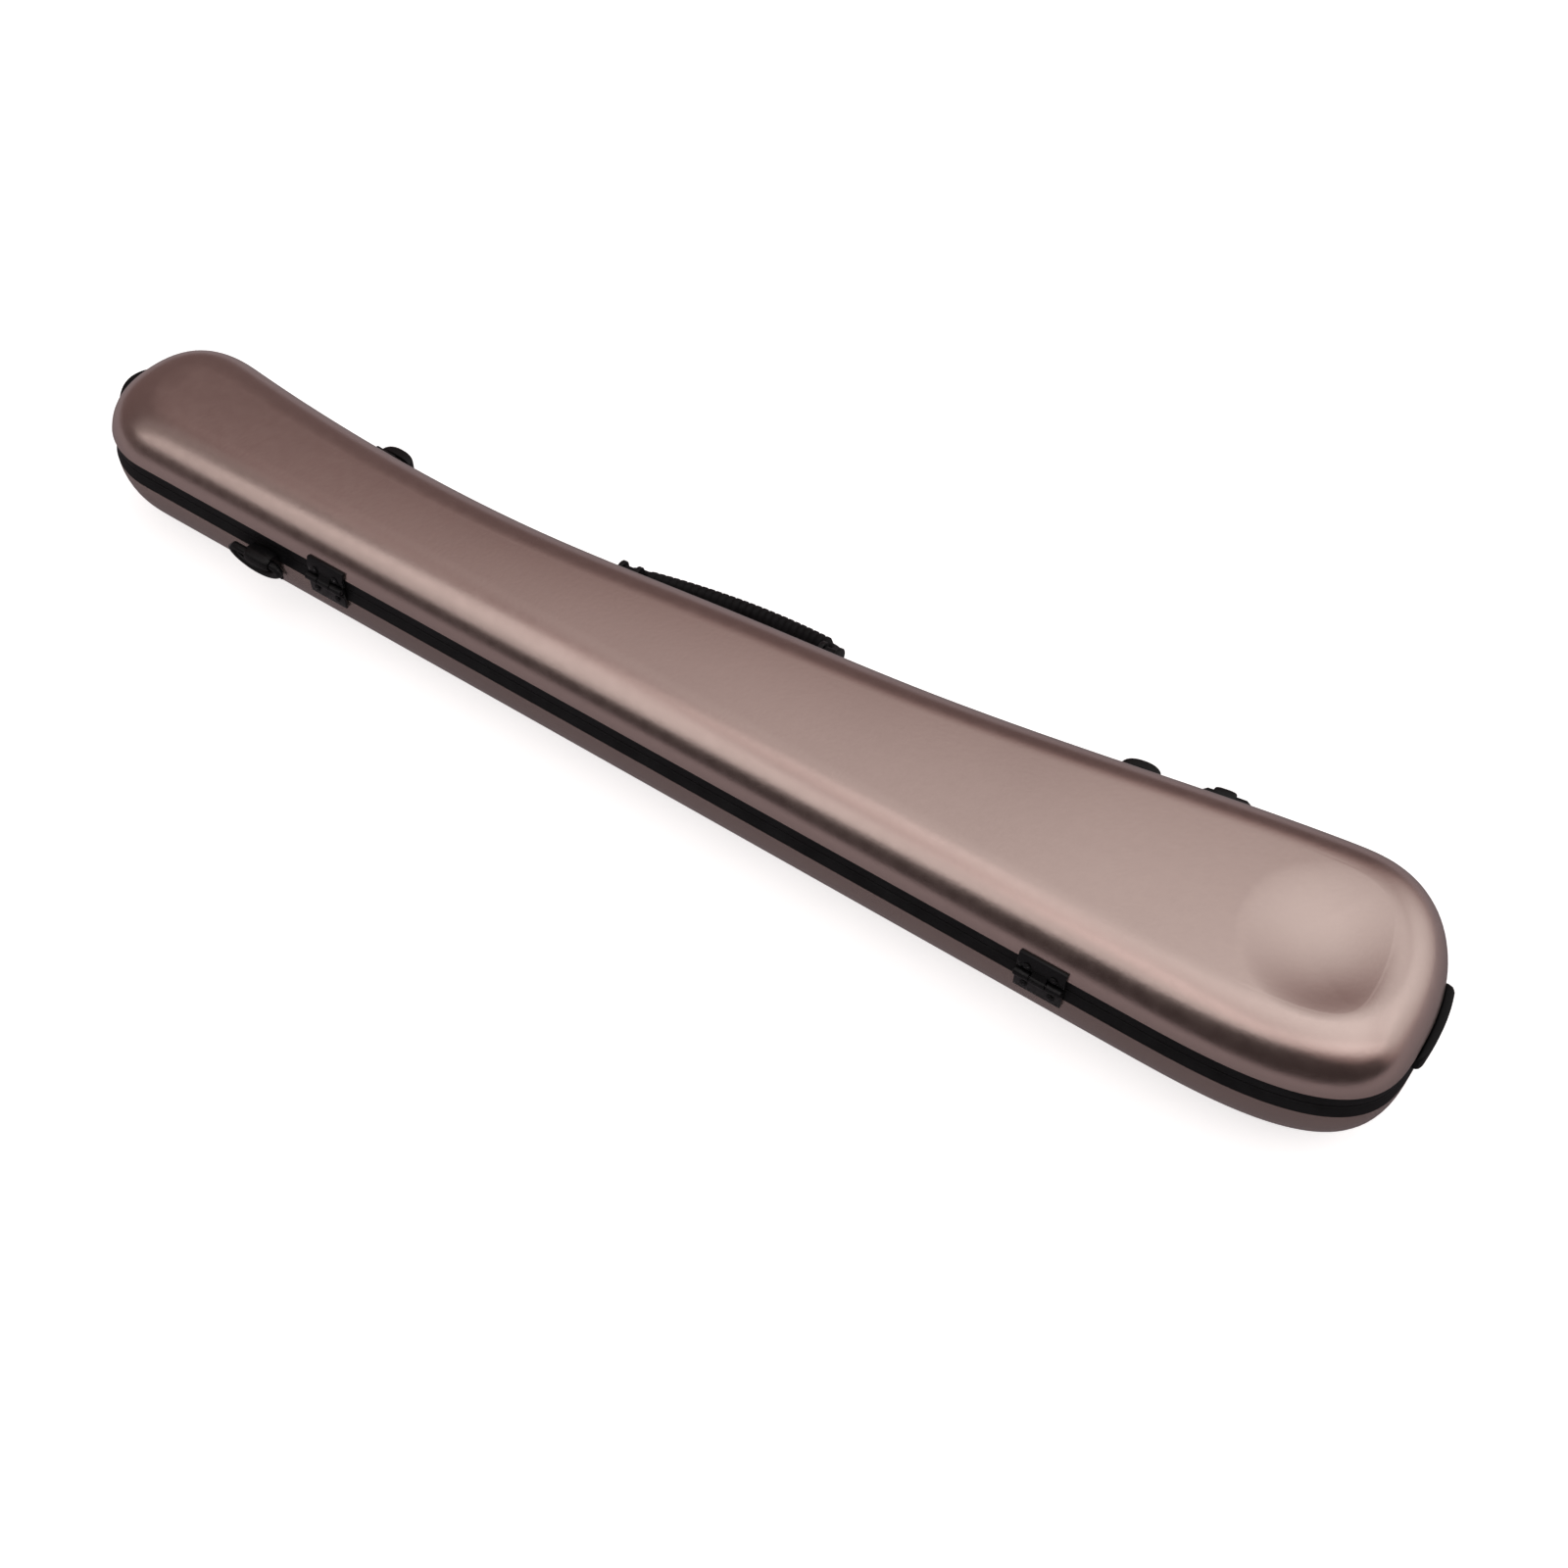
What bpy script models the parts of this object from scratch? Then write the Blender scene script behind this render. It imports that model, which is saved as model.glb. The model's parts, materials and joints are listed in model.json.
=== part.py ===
"""Moulded bow case with one straight and one waisted side, hinges, latches and a carrying handle.

Metres, +Z up. X runs from the narrow end to the wide end and Y from the hinge side to the latch
side. Sizes along the case are given from its narrow end, sizes across it from the hinge side and
heights from the flat of its bottom. The origin lies on that flat, at the middle of the length.
"""
from math import asin, cos, pi, radians, sin, sqrt

import bmesh
import bpy
import numpy as np
from mathutils import Matrix, Vector

# Plan of the case, at its widest
CASE_LENGTH = 0.830
CASE_WIDTH = 0.1521
HINGE_NARROW_CORNER_LENGTH = 0.0528
HINGE_WIDE_CORNER_LENGTH = 0.1272
LATCH_NARROW_CORNER_LENGTH = 0.0573
LATCH_WIDE_CORNER_LENGTH = 0.0724
WIDE_TIP_SHARE = 0.4004
NARROW_TIP_SHARE = 0.4838
LATCH_SIDE_WIDTH_SHARES = (0.655, 0.5895, 0.596, 0.674, 0.7503, 0.8735, 1.0)
NARROW_SLOPE_SHARE = -0.1278
WIDE_SLOPE_SHARE = 0.1242
HINGE_WIDE_CORNER_POWER = 3.0
LATCH_WIDE_CORNER_POWER = 2.255
LATCH_NARROW_CORNER_POWER = 2.3165
HINGE_NARROW_CORNER_POWER = 2.093
REST_LINE_ACROSS = 0.050

# Section of the hull
HULL_RADIUS = 0.048
HULL_FOOT_RADIUS = 0.012
HULL_ROUND_DEG = 62.0
HULL_STRAIGHT = 0.0024
SHELL_WALL = 0.003
GAP = 0.0003
BASE_LINING_WALL = 0.005

# Rim bands, seal and parting line
BAND_HEIGHT = 0.0153
PARTING_RISE = 0.0073
BAND_FOOT_INSET = 0.0004
BAND_WAIST_INSET = 0.0016
BAND_LIP_INSET = 0.0024
BAND_TAPER_RISE = 0.0055
SEAL_WIDTH = 0.0033
SEAL_HEIGHT = 0.0030
SEAL_WALL = 0.0024
SEAL_SEAT_DEPTH = 0.0024

# Lid
LID_RISE = 0.0246
LID_RADIUS = 0.0318
LID_LINING_WALL = 0.0065
DISH_FROM_WIDE_END = 0.064
DISH_ACROSS_SHARE = 0.526
DISH_RADIUS = 0.036
DISH_DEPTH = 0.0045
DISH_WALL = 0.0024
CUSHION_INSET = 0.0305
CUSHION_EDGE = 0.0030
CUSHION_SLOPE = 0.0022
CUSHION_CROWN = 0.0050

# Foam beds for the bows, with their slots at shares of the case's width there
BED_TOP = 0.040
FROG_BED_FROM_WIDE_END = 0.126
FROG_BED_LENGTH = 0.078
FROG_SLOT_WIDTH = 0.020
FROG_SLOT_DEPTH = 0.026
FROG_SLOT_SHARES = (0.267, 0.494, 0.721)
SADDLE_BEFORE_MIDDLE = 0.015
SADDLE_LENGTH = 0.026
STICK_SLOT_WIDTH = 0.012
STICK_SLOT_DEPTH = 0.012
SADDLE_SLOT_SHARES = (0.2816, 0.5099, 0.7381)
HEAD_BED_START = 0.058
HEAD_BED_LENGTH = 0.042
HEAD_LAND_WIDTH = 0.0085
HEAD_SLOT_DEPTH = 0.020
HEAD_SLOT_SHARES = (0.2806, 0.5082, 0.7359)

# Turn-buttons over the heads of the bows
BUTTON_APART = 0.0005
BUTTON_WIDTH = 0.0075
BUTTON_THICKNESS = 0.0030
BUTTON_LIFT = 0.0010
POST_RADIUS = 0.0013
POST_HEAD_RADIUS = 0.0026
POST_HEAD_HEIGHT = 0.0012
POST_BURIAL = 0.012
POST_BESIDE_SLOT = 0.0032

# Hinges on the straight side
HINGE_FROM_NARROW_END = 0.1985
HINGE_FROM_WIDE_END = 0.1690
HINGE_WIDTH = 0.0265
HINGE_AXIS_OUT = 0.0026
BARREL_RADIUS = 0.0024
LEAF_THICKNESS = 0.0018
UPPER_LEAF_TOP = 0.0660
LOWER_LEAF_FOOT = 0.0405
MIDDLE_KNUCKLE = 0.0088
KNUCKLE_GAP = 0.0003
PIN_RADIUS = 0.0010
PIN_CLEARANCE = 0.00012
PIN_INSET = 0.0002
RIVET_RADIUS = 0.0012
RIVET_HEAD_RADIUS = 0.0022
RIVET_HEAD_HEIGHT = 0.0009
HINGE_RIVET_APART = 0.0150
UPPER_RIVET_HEIGHT = 0.0595
LOWER_RIVET_HEIGHT = 0.0455

# Latches on the waisted side
LATCH_FROM_NARROW_END = 0.166
LATCH_FROM_WIDE_END = 0.189
LATCH_WIDTH = 0.022
LATCH_PIVOT_OUT = 0.0062
LATCH_PIVOT_HEIGHT = 0.0370
LATCH_KNUCKLE_RADIUS = 0.0027
LATCH_EAR_THICKNESS = 0.0020
LATCH_EAR_RADIUS = 0.0034
LATCH_PLATE_THICKNESS = 0.0016
LATCH_PLATE_TOP = 0.0520
LATCH_PLATE_FOOT = 0.0325
LATCH_LEVER_OUT = 0.0118
LATCH_LEVER_TOP = 0.0595
LATCH_LEVER_WALL = 0.0024
LATCH_LEVER_ROUND = 0.0030
KEEPER_NOSE_OUT = 0.0046
KEEPER_NOSE_FOOT = 0.0548
KEEPER_NOSE_THICKNESS = 0.0020
KEEPER_PLATE_THICKNESS = 0.0014
KEEPER_TOP = 0.0672
KEEPER_WIDTH = 0.0140
LATCH_RIVET_HEIGHT = 0.0470
LATCH_RIVET_APART = 0.0140

# Carrying handle on the waisted side
HANDLE_BEFORE_MIDDLE = 0.0185
HANDLE_PIVOT_OUT = 0.0095
HANDLE_PIVOT_HEIGHT = 0.0490
HANDLE_HALF_SPAN = 0.0640
HANDLE_REACH = 0.0210
HANDLE_BOW = 0.0069
HANDLE_BOW_SHIFT = 0.014
HANDLE_EYE_LENGTH = 0.0070
HANDLE_EYE_RADIUS = 0.0045
HANDLE_EYE_CLEARANCE = 0.0008
HANDLE_ARM_THICKNESS = 0.0066
HANDLE_GRIP_THICKNESS = 0.0105
HANDLE_GRIP_HEIGHT = 0.0124
HANDLE_GRIP_TAPER = 0.0029
HANDLE_GRIP_LENGTH = 0.113
HANDLE_RIB_COUNT = 9
HANDLE_GROOVE_DEPTH = 0.0011
HANDLE_GROOVE_WIDTH = 0.0020
HANDLE_DROOP_DEG = 38.0
HANDLE_PIN_RADIUS = 0.0016
ARM_BEND_SHARES = (0.0, 0.35, 0.68, 0.9)
GRIP_SQUARE_SHARE = 0.75
BRACKET_EAR_THICKNESS = 0.0027
BRACKET_EAR_RADIUS = 0.0066
BRACKET_PLATE_THICKNESS = 0.0024
BRACKET_PLATE_TOP = 0.0590
BRACKET_PLATE_FOOT = 0.0370

# Strap rings, one on each side
RING_BAR_RADIUS = 0.0025
RING_HALF_SPAN = 0.0180
RING_BOW_POWER = 1.3
RING_REACH = 0.0098
RING_DROOP_DEG_HINGE_SIDE = 90.0
RING_DROOP_DEG_LATCH_SIDE = 90.0
RING_SLIDE_HINGE_SIDE = 0.0033
RING_SLIDE_LATCH_SIDE = 0.0
TAB_FROM_NARROW_END = 0.1513
TAB_FROM_WIDE_END = 0.148
TAB_WIDTH = 0.0180
TAB_BARREL_OUT = 0.0068
TAB_BARREL_HEIGHT = 0.0494
TAB_RAISE_LATCH_SIDE = 0.0066
TAB_BARREL_WALL = 0.0018
TAB_RING_CLEARANCE = 0.0004
TAB_PLATE_THICKNESS = 0.0016
TAB_PLATE_TOP = 0.0530
TAB_PLATE_FOOT = 0.0330
TAB_RIVET_HEIGHT = 0.0362

# Grips on the ends
END_GRIP_ACROSS = 0.084
END_GRIP_LENGTH = 0.048
END_GRIP_RISE = 0.0014
END_GRIP_HEIGHT = 0.0110
END_GRIP_THICKNESS = 0.0040
END_GRIP_FOOT = 0.0090
END_GRIP_MIDDLE = 0.0525
END_LOOP_ACROSS = 0.060
END_LOOP_LENGTH = 0.050
END_LOOP_RISE = 0.0112
END_LOOP_HEIGHT = 0.0100
END_LOOP_THICKNESS = 0.0028
END_LOOP_FOOT = 0.0070
END_LOOP_MIDDLE = 0.0503

# Overrun of every cutter past the face it cuts
OVERRUN = 0.002

# Counts of facets
CORNER_STEPS = 9
SIDE_STEPS = 15
ROUND_STEPS = 5
INNER_STEPS = 3
TURN_SIDES = 12
SMALL_SIDES = 8
DISH_SIDES = 28
DISH_RINGS = 5
RING_BOW_STEPS = 12
SMOOTH_DEG = 35.0

# Share of an inset that a moved outline keeps clear of the outline
CLEAR_SHARE = 0.985

# Places along the case that follow its length
HINGE_SIDE_START = HINGE_NARROW_CORNER_LENGTH
HINGE_SIDE_END = CASE_LENGTH - HINGE_WIDE_CORNER_LENGTH
LATCH_SIDE_START = LATCH_NARROW_CORNER_LENGTH
LATCH_SIDE_END = CASE_LENGTH - LATCH_WIDE_CORNER_LENGTH
DISH_ALONG = CASE_LENGTH - DISH_FROM_WIDE_END
FROG_BED_START = CASE_LENGTH - FROG_BED_FROM_WIDE_END
SADDLE_START = CASE_LENGTH / 2 - SADDLE_BEFORE_MIDDLE
HINGE_ALONG = (HINGE_FROM_NARROW_END, CASE_LENGTH - HINGE_FROM_WIDE_END)
LATCH_ALONG = (LATCH_FROM_NARROW_END, CASE_LENGTH - LATCH_FROM_WIDE_END)
HANDLE_ALONG = CASE_LENGTH / 2 - HANDLE_BEFORE_MIDDLE
TAB_ALONG_HINGE_SIDE = TAB_FROM_NARROW_END
TAB_ALONG_LATCH_SIDE = CASE_LENGTH - TAB_FROM_WIDE_END

# Heights that follow from the sections
HULL_SPRING_HEIGHT = HULL_FOOT_RADIUS + (HULL_RADIUS - HULL_FOOT_RADIUS) * sin(radians(HULL_ROUND_DEG))
HULL_TOP = HULL_SPRING_HEIGHT + HULL_STRAIGHT
PARTING_HEIGHT = HULL_TOP + PARTING_RISE
LID_RIM = HULL_TOP + BAND_HEIGHT
LID_TOP = LID_RIM + LID_RISE
LID_SPRING_HEIGHT = LID_TOP - LID_RADIUS
BASE_LINING_OUTSIDE = SHELL_WALL + GAP
BASE_LINING_INSIDE = BASE_LINING_OUTSIDE + BASE_LINING_WALL
LID_LINING_INSIDE = SHELL_WALL + GAP + LID_LINING_WALL

# Finishes: colour, roughness, metallic
PAINT = ((0.33, 0.235, 0.205), 0.36, 0.75)
BLACK_RUBBER = ((0.012, 0.012, 0.013), 0.62, 0.0)
BLACK_PLASTIC = ((0.010, 0.010, 0.011), 0.42, 0.0)
BLACK_METAL = ((0.020, 0.020, 0.022), 0.34, 0.85)
STEEL = ((0.30, 0.30, 0.31), 0.30, 1.0)
PLUSH = ((0.055, 0.012, 0.016), 0.95, 0.0)
FOAM_PLUSH = ((0.070, 0.016, 0.020), 0.95, 0.0)


def clear_scene():
    """Remove whatever the file holds."""
    for item in list(bpy.data.objects):
        bpy.data.objects.remove(item, do_unlink=True)


def make_material(name, finish):
    """Give a piece its own plain material."""
    colour, roughness, metallic = finish
    material = bpy.data.materials.new(name)
    material.use_nodes = True
    shader = material.node_tree.nodes["Principled BSDF"]
    shader.inputs["Base Color"].default_value = (*colour, 1.0)
    shader.inputs["Roughness"].default_value = roughness
    shader.inputs["Metallic"].default_value = metallic
    return material


def mesh_object(name, shape):
    """Turn a bmesh into an object with its faces pointing out."""
    bmesh.ops.recalc_face_normals(shape, faces=shape.faces)
    mesh = bpy.data.meshes.new(name)
    shape.to_mesh(mesh)
    shape.free()
    item = bpy.data.objects.new(name, mesh)
    bpy.context.scene.collection.objects.link(item)
    return item


def combine(target, tools, operation):
    """Join tools to the target, or cut them from it, and drop the tools."""
    for tool in tools:
        step = target.modifiers.new("shape", "BOOLEAN")
        step.operation = operation
        step.solver = "EXACT"
        step.object = tool
    graph = bpy.context.evaluated_depsgraph_get()
    shaped = bpy.data.meshes.new_from_object(target.evaluated_get(graph))
    target.modifiers.clear()
    target.data = shaped
    for tool in tools:
        bpy.data.objects.remove(tool, do_unlink=True)
    return target


def finish_piece(item, name, finish, place=None, parent=None):
    """Name a piece, give it its material and shading, and put it where it belongs."""
    item.name = name
    item.data.name = name
    item.data.materials.clear()
    item.data.materials.append(make_material(name, finish))
    item.data.shade_smooth()
    item.data.set_sharp_from_angle(angle=radians(SMOOTH_DEG))
    if place is not None:
        item.matrix_world = place
    if parent is not None:
        item.parent = parent
        item.matrix_parent_inverse = Matrix.Translation(parent.location).inverted()
    return item


def world(along, across, height):
    """Point of the world for a place measured from the narrow end, the hinge side and the bottom."""
    return Vector((along - CASE_LENGTH / 2, across - REST_LINE_ACROSS, height))


def round_corner(start, end, corner, power):
    """Points and directions of a rounded corner, without its last point."""
    start, end, corner = Vector(start), Vector(end), Vector(corner)
    centre = start + end - corner
    points = []
    for step in range(CORNER_STEPS):
        angle = pi / 2 * step / CORNER_STEPS
        back = cos(angle) ** (2 / power)
        ahead = sin(angle) ** (2 / power)
        place = centre + (start - centre) * back + (end - centre) * ahead
        heading = (end - centre) * back ** (power - 1) - (start - centre) * ahead ** (power - 1)
        points.append((place, heading.normalized()))
    return points


def waisted_side():
    """Points and directions of the waisted side, from the wide end back to the narrow end."""
    stations = np.linspace(LATCH_SIDE_START, LATCH_SIDE_END, len(LATCH_SIDE_WIDTH_SHARES))
    widths = CASE_WIDTH * np.array(LATCH_SIDE_WIDTH_SHARES)
    step = stations[1] - stations[0]
    count = len(stations)
    system = np.eye(count)
    wanted = np.zeros(count)
    wanted[0] = NARROW_SLOPE_SHARE
    wanted[-1] = WIDE_SLOPE_SHARE
    for row in range(1, count - 1):
        system[row, row - 1:row + 2] = (1, 4, 1)
        wanted[row] = 3 * (widths[row + 1] - widths[row - 1]) / step
    slopes = np.linalg.solve(system, wanted)
    points = []
    for index in range(SIDE_STEPS):
        reach = (count - 1) * (1 - index / SIDE_STEPS)
        left = min(int(reach), count - 2)
        share = reach - left
        rise = widths[left + 1] - widths[left]
        first = slopes[left] * step - rise
        last = rise - slopes[left + 1] * step
        bend = (1 - share) * first + share * last
        across = widths[left] + share * rise + share * (1 - share) * bend
        slope = rise + (1 - 2 * share) * bend + share * (1 - share) * (last - first)
        along = stations[left] + share * step
        points.append((Vector((along, across)), Vector((-step, -slope)).normalized()))
    return points


def trace_outline():
    """Points and directions all round the widest outline, counter-clockwise."""
    narrow_across = CASE_WIDTH * LATCH_SIDE_WIDTH_SHARES[0]
    wide_corner_across = CASE_WIDTH + WIDE_SLOPE_SHARE * (CASE_LENGTH - LATCH_SIDE_END)
    narrow_corner_across = narrow_across - NARROW_SLOPE_SHARE * LATCH_SIDE_START
    hinge_start = (HINGE_SIDE_START, 0)
    hinge_end = (HINGE_SIDE_END, 0)
    wide_tip = (CASE_LENGTH, CASE_WIDTH * WIDE_TIP_SHARE)
    narrow_tip = (0, narrow_across * NARROW_TIP_SHARE)
    latch_start = (LATCH_SIDE_START, narrow_across)
    latch_end = (LATCH_SIDE_END, CASE_WIDTH)
    straight = [(Vector(hinge_start), Vector((1, 0)))]
    return (
        straight
        + round_corner(hinge_end, wide_tip, (CASE_LENGTH, 0), HINGE_WIDE_CORNER_POWER)
        + round_corner(wide_tip, latch_end, (CASE_LENGTH, wide_corner_across), LATCH_WIDE_CORNER_POWER)
        + waisted_side()
        + round_corner(latch_start, narrow_tip, (0, narrow_corner_across), LATCH_NARROW_CORNER_POWER)
        + round_corner(narrow_tip, hinge_start, (0, 0), HINGE_NARROW_CORNER_POWER)
    )


def wall_distance(spot):
    """Distance from a place to the nearest wall of the outline."""
    places = [place for place, heading in OUTLINE]
    distances = []
    for start, end in zip(places, places[1:] + places[:1]):
        run = end - start
        share = min(max((spot - start).dot(run) / run.length_squared, 0), 1)
        distances.append((spot - start - run * share).length)
    return min(distances)


def moved_outline(inset):
    """Outline moved in by an inset; a point that would cross its neighbours is spread between them."""
    moved = []
    for place, heading in OUTLINE:
        outward = Vector((heading.y, -heading.x))
        moved.append(place - outward * inset)
    clear = [wall_distance(spot) > inset * CLEAR_SHARE for spot in moved]
    count = len(moved)
    spread = []
    for index in range(count):
        if inset <= 0 or clear[index]:
            spread.append(moved[index])
            continue
        before = next(step for step in range(1, count) if clear[index - step])
        after = next(step for step in range(1, count) if clear[(index + step) % count])
        share = before / (before + after)
        spread.append(moved[index - before].lerp(moved[(index + after) % count], share))
    return spread


def ring_at(inset, height):
    """Outline moved in by an inset, at a height."""
    return [world(spot.x, spot.y, height) for spot in moved_outline(inset)]


def add_rings(shape, profile):
    """Vertices of the outline at each inset and height of a profile."""
    return [[shape.verts.new(point) for point in ring_at(inset, height)] for inset, height in profile]


def bridge(shape, first, second):
    """Quads between two rings of as many vertices."""
    count = len(first)
    for index in range(count):
        after = (index + 1) % count
        shape.faces.new((first[index], first[after], second[after], second[index]))


def cup(name, outside, inside):
    """Shell between two profiles that both run from the rim to the flat."""
    shape = bmesh.new()
    outer = add_rings(shape, outside)
    inner = add_rings(shape, inside)
    for rings in (outer, inner):
        for first, second in zip(rings, rings[1:]):
            bridge(shape, first, second)
        shape.faces.new(rings[-1])
    bridge(shape, outer[0], inner[0])
    return mesh_object(name, shape)


def hoop(name, profile):
    """Closed ring that carries a profile round the outline."""
    shape = bmesh.new()
    rings = add_rings(shape, profile)
    for index, ring in enumerate(rings):
        bridge(shape, ring, rings[(index + 1) % len(rings)])
    return mesh_object(name, shape)


def plug(name, profile):
    """Solid inside a profile, closed at both ends."""
    shape = bmesh.new()
    rings = add_rings(shape, profile)
    for first, second in zip(rings, rings[1:]):
        bridge(shape, first, second)
    shape.faces.new(rings[0])
    shape.faces.new(rings[-1])
    return mesh_object(name, shape)


def lid_profile(depth, steps=INNER_STEPS):
    """Profile of the lid, moved in by a depth, from its rim to its flat."""
    radius = LID_RADIUS - depth
    start = asin((LID_RIM - LID_SPRING_HEIGHT) / radius)
    profile = []
    for step in range(steps + 1):
        angle = start + (pi / 2 - start) * step / steps
        profile.append((LID_RADIUS - radius * cos(angle), LID_SPRING_HEIGHT + radius * sin(angle)))
    return profile


def hull_profile(depth, steps=INNER_STEPS):
    """Profile of the hull, moved in by a depth, from its top edge to its flat."""
    turn = radians(HULL_ROUND_DEG)
    radius = HULL_RADIUS - depth
    foot = HULL_FOOT_RADIUS - depth
    foot_inset = HULL_RADIUS - (HULL_RADIUS - HULL_FOOT_RADIUS) * cos(turn)
    profile = [(depth, HULL_TOP)]
    for step in range(steps):
        angle = turn * step / steps
        profile.append((HULL_RADIUS - radius * cos(angle), HULL_SPRING_HEIGHT - radius * sin(angle)))
    foot_steps = steps // 2
    for step in range(foot_steps + 1):
        angle = turn + (pi / 2 - turn) * step / foot_steps
        profile.append((foot_inset - foot * cos(angle), HULL_FOOT_RADIUS - foot * sin(angle)))
    return profile


def lid_inset(height):
    """Inset of the lid's outer face at a height."""
    return LID_RADIUS - sqrt(LID_RADIUS ** 2 - (height - LID_SPRING_HEIGHT) ** 2)


def box(name, low, high):
    """Box between two corners."""
    shape = bmesh.new()
    corners = [
        shape.verts.new((x, y, z))
        for x in (low[0], high[0])
        for y in (low[1], high[1])
        for z in (low[2], high[2])
    ]
    for face in ((0, 1, 3, 2), (4, 6, 7, 5), (0, 4, 5, 1), (2, 3, 7, 6), (0, 2, 6, 4), (1, 5, 7, 3)):
        shape.faces.new([corners[index] for index in face])
    return mesh_object(name, shape)


def prism(name, profile, start, end):
    """Outline of (out, up) points carried along the wall from start to end."""
    shape = bmesh.new()
    near = [shape.verts.new((start, out, up)) for out, up in profile]
    far = [shape.verts.new((end, out, up)) for out, up in profile]
    bridge(shape, near, far)
    shape.faces.new(near)
    shape.faces.new(far)
    return mesh_object(name, shape)


def circle(centre, radius, sides):
    """Points of a circle in the (out, up) plane."""
    out, up = centre
    return [
        (out + radius * cos(2 * pi * step / sides), up + radius * sin(2 * pi * step / sides))
        for step in range(sides)
    ]


def rod(name, centre, radius, start, end, sides=TURN_SIDES):
    """Round bar along the wall."""
    return prism(name, circle(centre, radius, sides), start, end)


def turned(name, profile, sides, centre=(0.0, 0.0)):
    """Solid turned about an upright axis; the profile runs from its lower to its upper end."""
    shape = bmesh.new()
    rings = []
    for radius, height in profile:
        rings.append([
            shape.verts.new((
                centre[0] + radius * cos(2 * pi * step / sides),
                centre[1] + radius * sin(2 * pi * step / sides),
                height,
            ))
            for step in range(sides)
        ])
    for first, second in zip(rings, rings[1:]):
        bridge(shape, first, second)
    shape.faces.new(rings[0])
    shape.faces.new(rings[-1])
    return mesh_object(name, shape)


def sweep(name, sections, closed=False):
    """Solid through sections of as many points each."""
    shape = bmesh.new()
    rings = [[shape.verts.new(point) for point in section] for section in sections]
    for first, second in zip(rings, rings[1:]):
        bridge(shape, first, second)
    if closed:
        bridge(shape, rings[-1], rings[0])
    else:
        shape.faces.new(rings[0])
        shape.faces.new(rings[-1])
    return mesh_object(name, shape)


def wall_frame(along, across):
    """Frame on the outline nearest to a place: X along the wall, Y outward, Z up, at the bottom."""
    goal = Vector((along, across))
    best = None
    count = len(OUTLINE)
    for index in range(count):
        start, first = OUTLINE[index]
        end, last = OUTLINE[(index + 1) % count]
        run = end - start
        share = min(max((goal - start).dot(run) / run.length_squared, 0), 1)
        spot = start + run * share
        distance = (goal - spot).length
        if best is None or distance < best[0]:
            best = (distance, spot, (first * (1 - share) + last * share).normalized())
    spot, heading = best[1], best[2]
    outward = Vector((heading.y, -heading.x, 0))
    upward = Vector((0, 0, 1))
    beside = outward.cross(upward)
    frame = Matrix((beside, outward, upward)).transposed().to_4x4()
    frame.translation = world(spot.x, spot.y, 0)
    return frame


def wall_across(along):
    """Width of the outline at a place along the waisted side."""
    points = sorted((place.x, place.y) for place, heading in waisted_side())
    return float(np.interp(along, [x for x, y in points], [y for x, y in points]))


def wall_rise(place, beside):
    """How far the wall stands out of a wall frame at a distance along it."""
    spot = place @ Vector((beside, 0, 0))
    local = wall_frame(spot.x + CASE_LENGTH / 2, spot.y + REST_LINE_ACROSS)
    return (place.inverted() @ local).translation.y


def pivot_empty(name, place):
    """Empty on a joint's axis."""
    item = bpy.data.objects.new(name, None)
    bpy.context.scene.collection.objects.link(item)
    item.location = place
    return item


def on_pivot(item, out, up):
    """Move a mesh so that its origin lies on its joint's axis."""
    item.data.transform(Matrix.Translation((0, -out, -up)))


def rivet(name, out, up, along, length, place, parent):
    """Dome-headed rivet whose shank stands in a plate; out is the plate's outer face."""
    base = out + GAP
    profile = (
        (RIVET_RADIUS, base - length),
        (RIVET_RADIUS, base),
        (RIVET_HEAD_RADIUS, base),
        (RIVET_HEAD_RADIUS, base + RIVET_HEAD_HEIGHT / 2),
        (RIVET_HEAD_RADIUS / 2, base + RIVET_HEAD_HEIGHT),
    )
    item = turned(name, profile, SMALL_SIDES)
    item.data.transform(Matrix.Rotation(-pi / 2, 4, "X"))
    item.data.transform(Matrix.Translation((along, 0, up)))
    return finish_piece(item, name, BLACK_METAL, place, parent)


def rivet_hole(along, out, up, depth):
    """Cutter for a rivet's hole in a plate."""
    radius = RIVET_RADIUS + GAP
    item = turned("rivet_hole", ((radius, -depth), (radius, depth)), SMALL_SIDES)
    item.data.transform(Matrix.Rotation(-pi / 2, 4, "X"))
    item.data.transform(Matrix.Translation((along, out, up)))
    return item


def make_shells(lid_axis):
    """Painted base and lid shells."""
    base = cup("base_shell", hull_profile(0, ROUND_STEPS), hull_profile(SHELL_WALL))
    finish_piece(base, "base_shell", PAINT)
    lid = cup("lid_shell", lid_profile(0, ROUND_STEPS), lid_profile(SHELL_WALL))
    combine(lid, [dish_boss("dish_boss", 0)], "UNION")
    combine(lid, [dish_cutter()], "DIFFERENCE")
    finish_piece(lid, "lid_shell", PAINT, parent=lid_axis)


def dish_fall(share):
    """Share of the dish's depth at a share of its radius."""
    return (1 + cos(pi * share)) / 2


def dish_boss(name, growth):
    """Swelling under the dish that keeps the lid's wall there, grown by a clearance."""
    profile = []
    for step in range(1, DISH_RINGS + 1):
        share = step / DISH_RINGS
        fall = DISH_WALL + DISH_DEPTH * dish_fall(share)
        profile.append((share * (DISH_RADIUS + growth), LID_TOP - fall - growth))
    profile.append((DISH_RADIUS + growth, LID_TOP - DISH_WALL / 2))
    centre = world(DISH_ALONG, CASE_WIDTH * DISH_ACROSS_SHARE, 0)
    return turned(name, profile, DISH_SIDES, (centre.x, centre.y))


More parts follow.
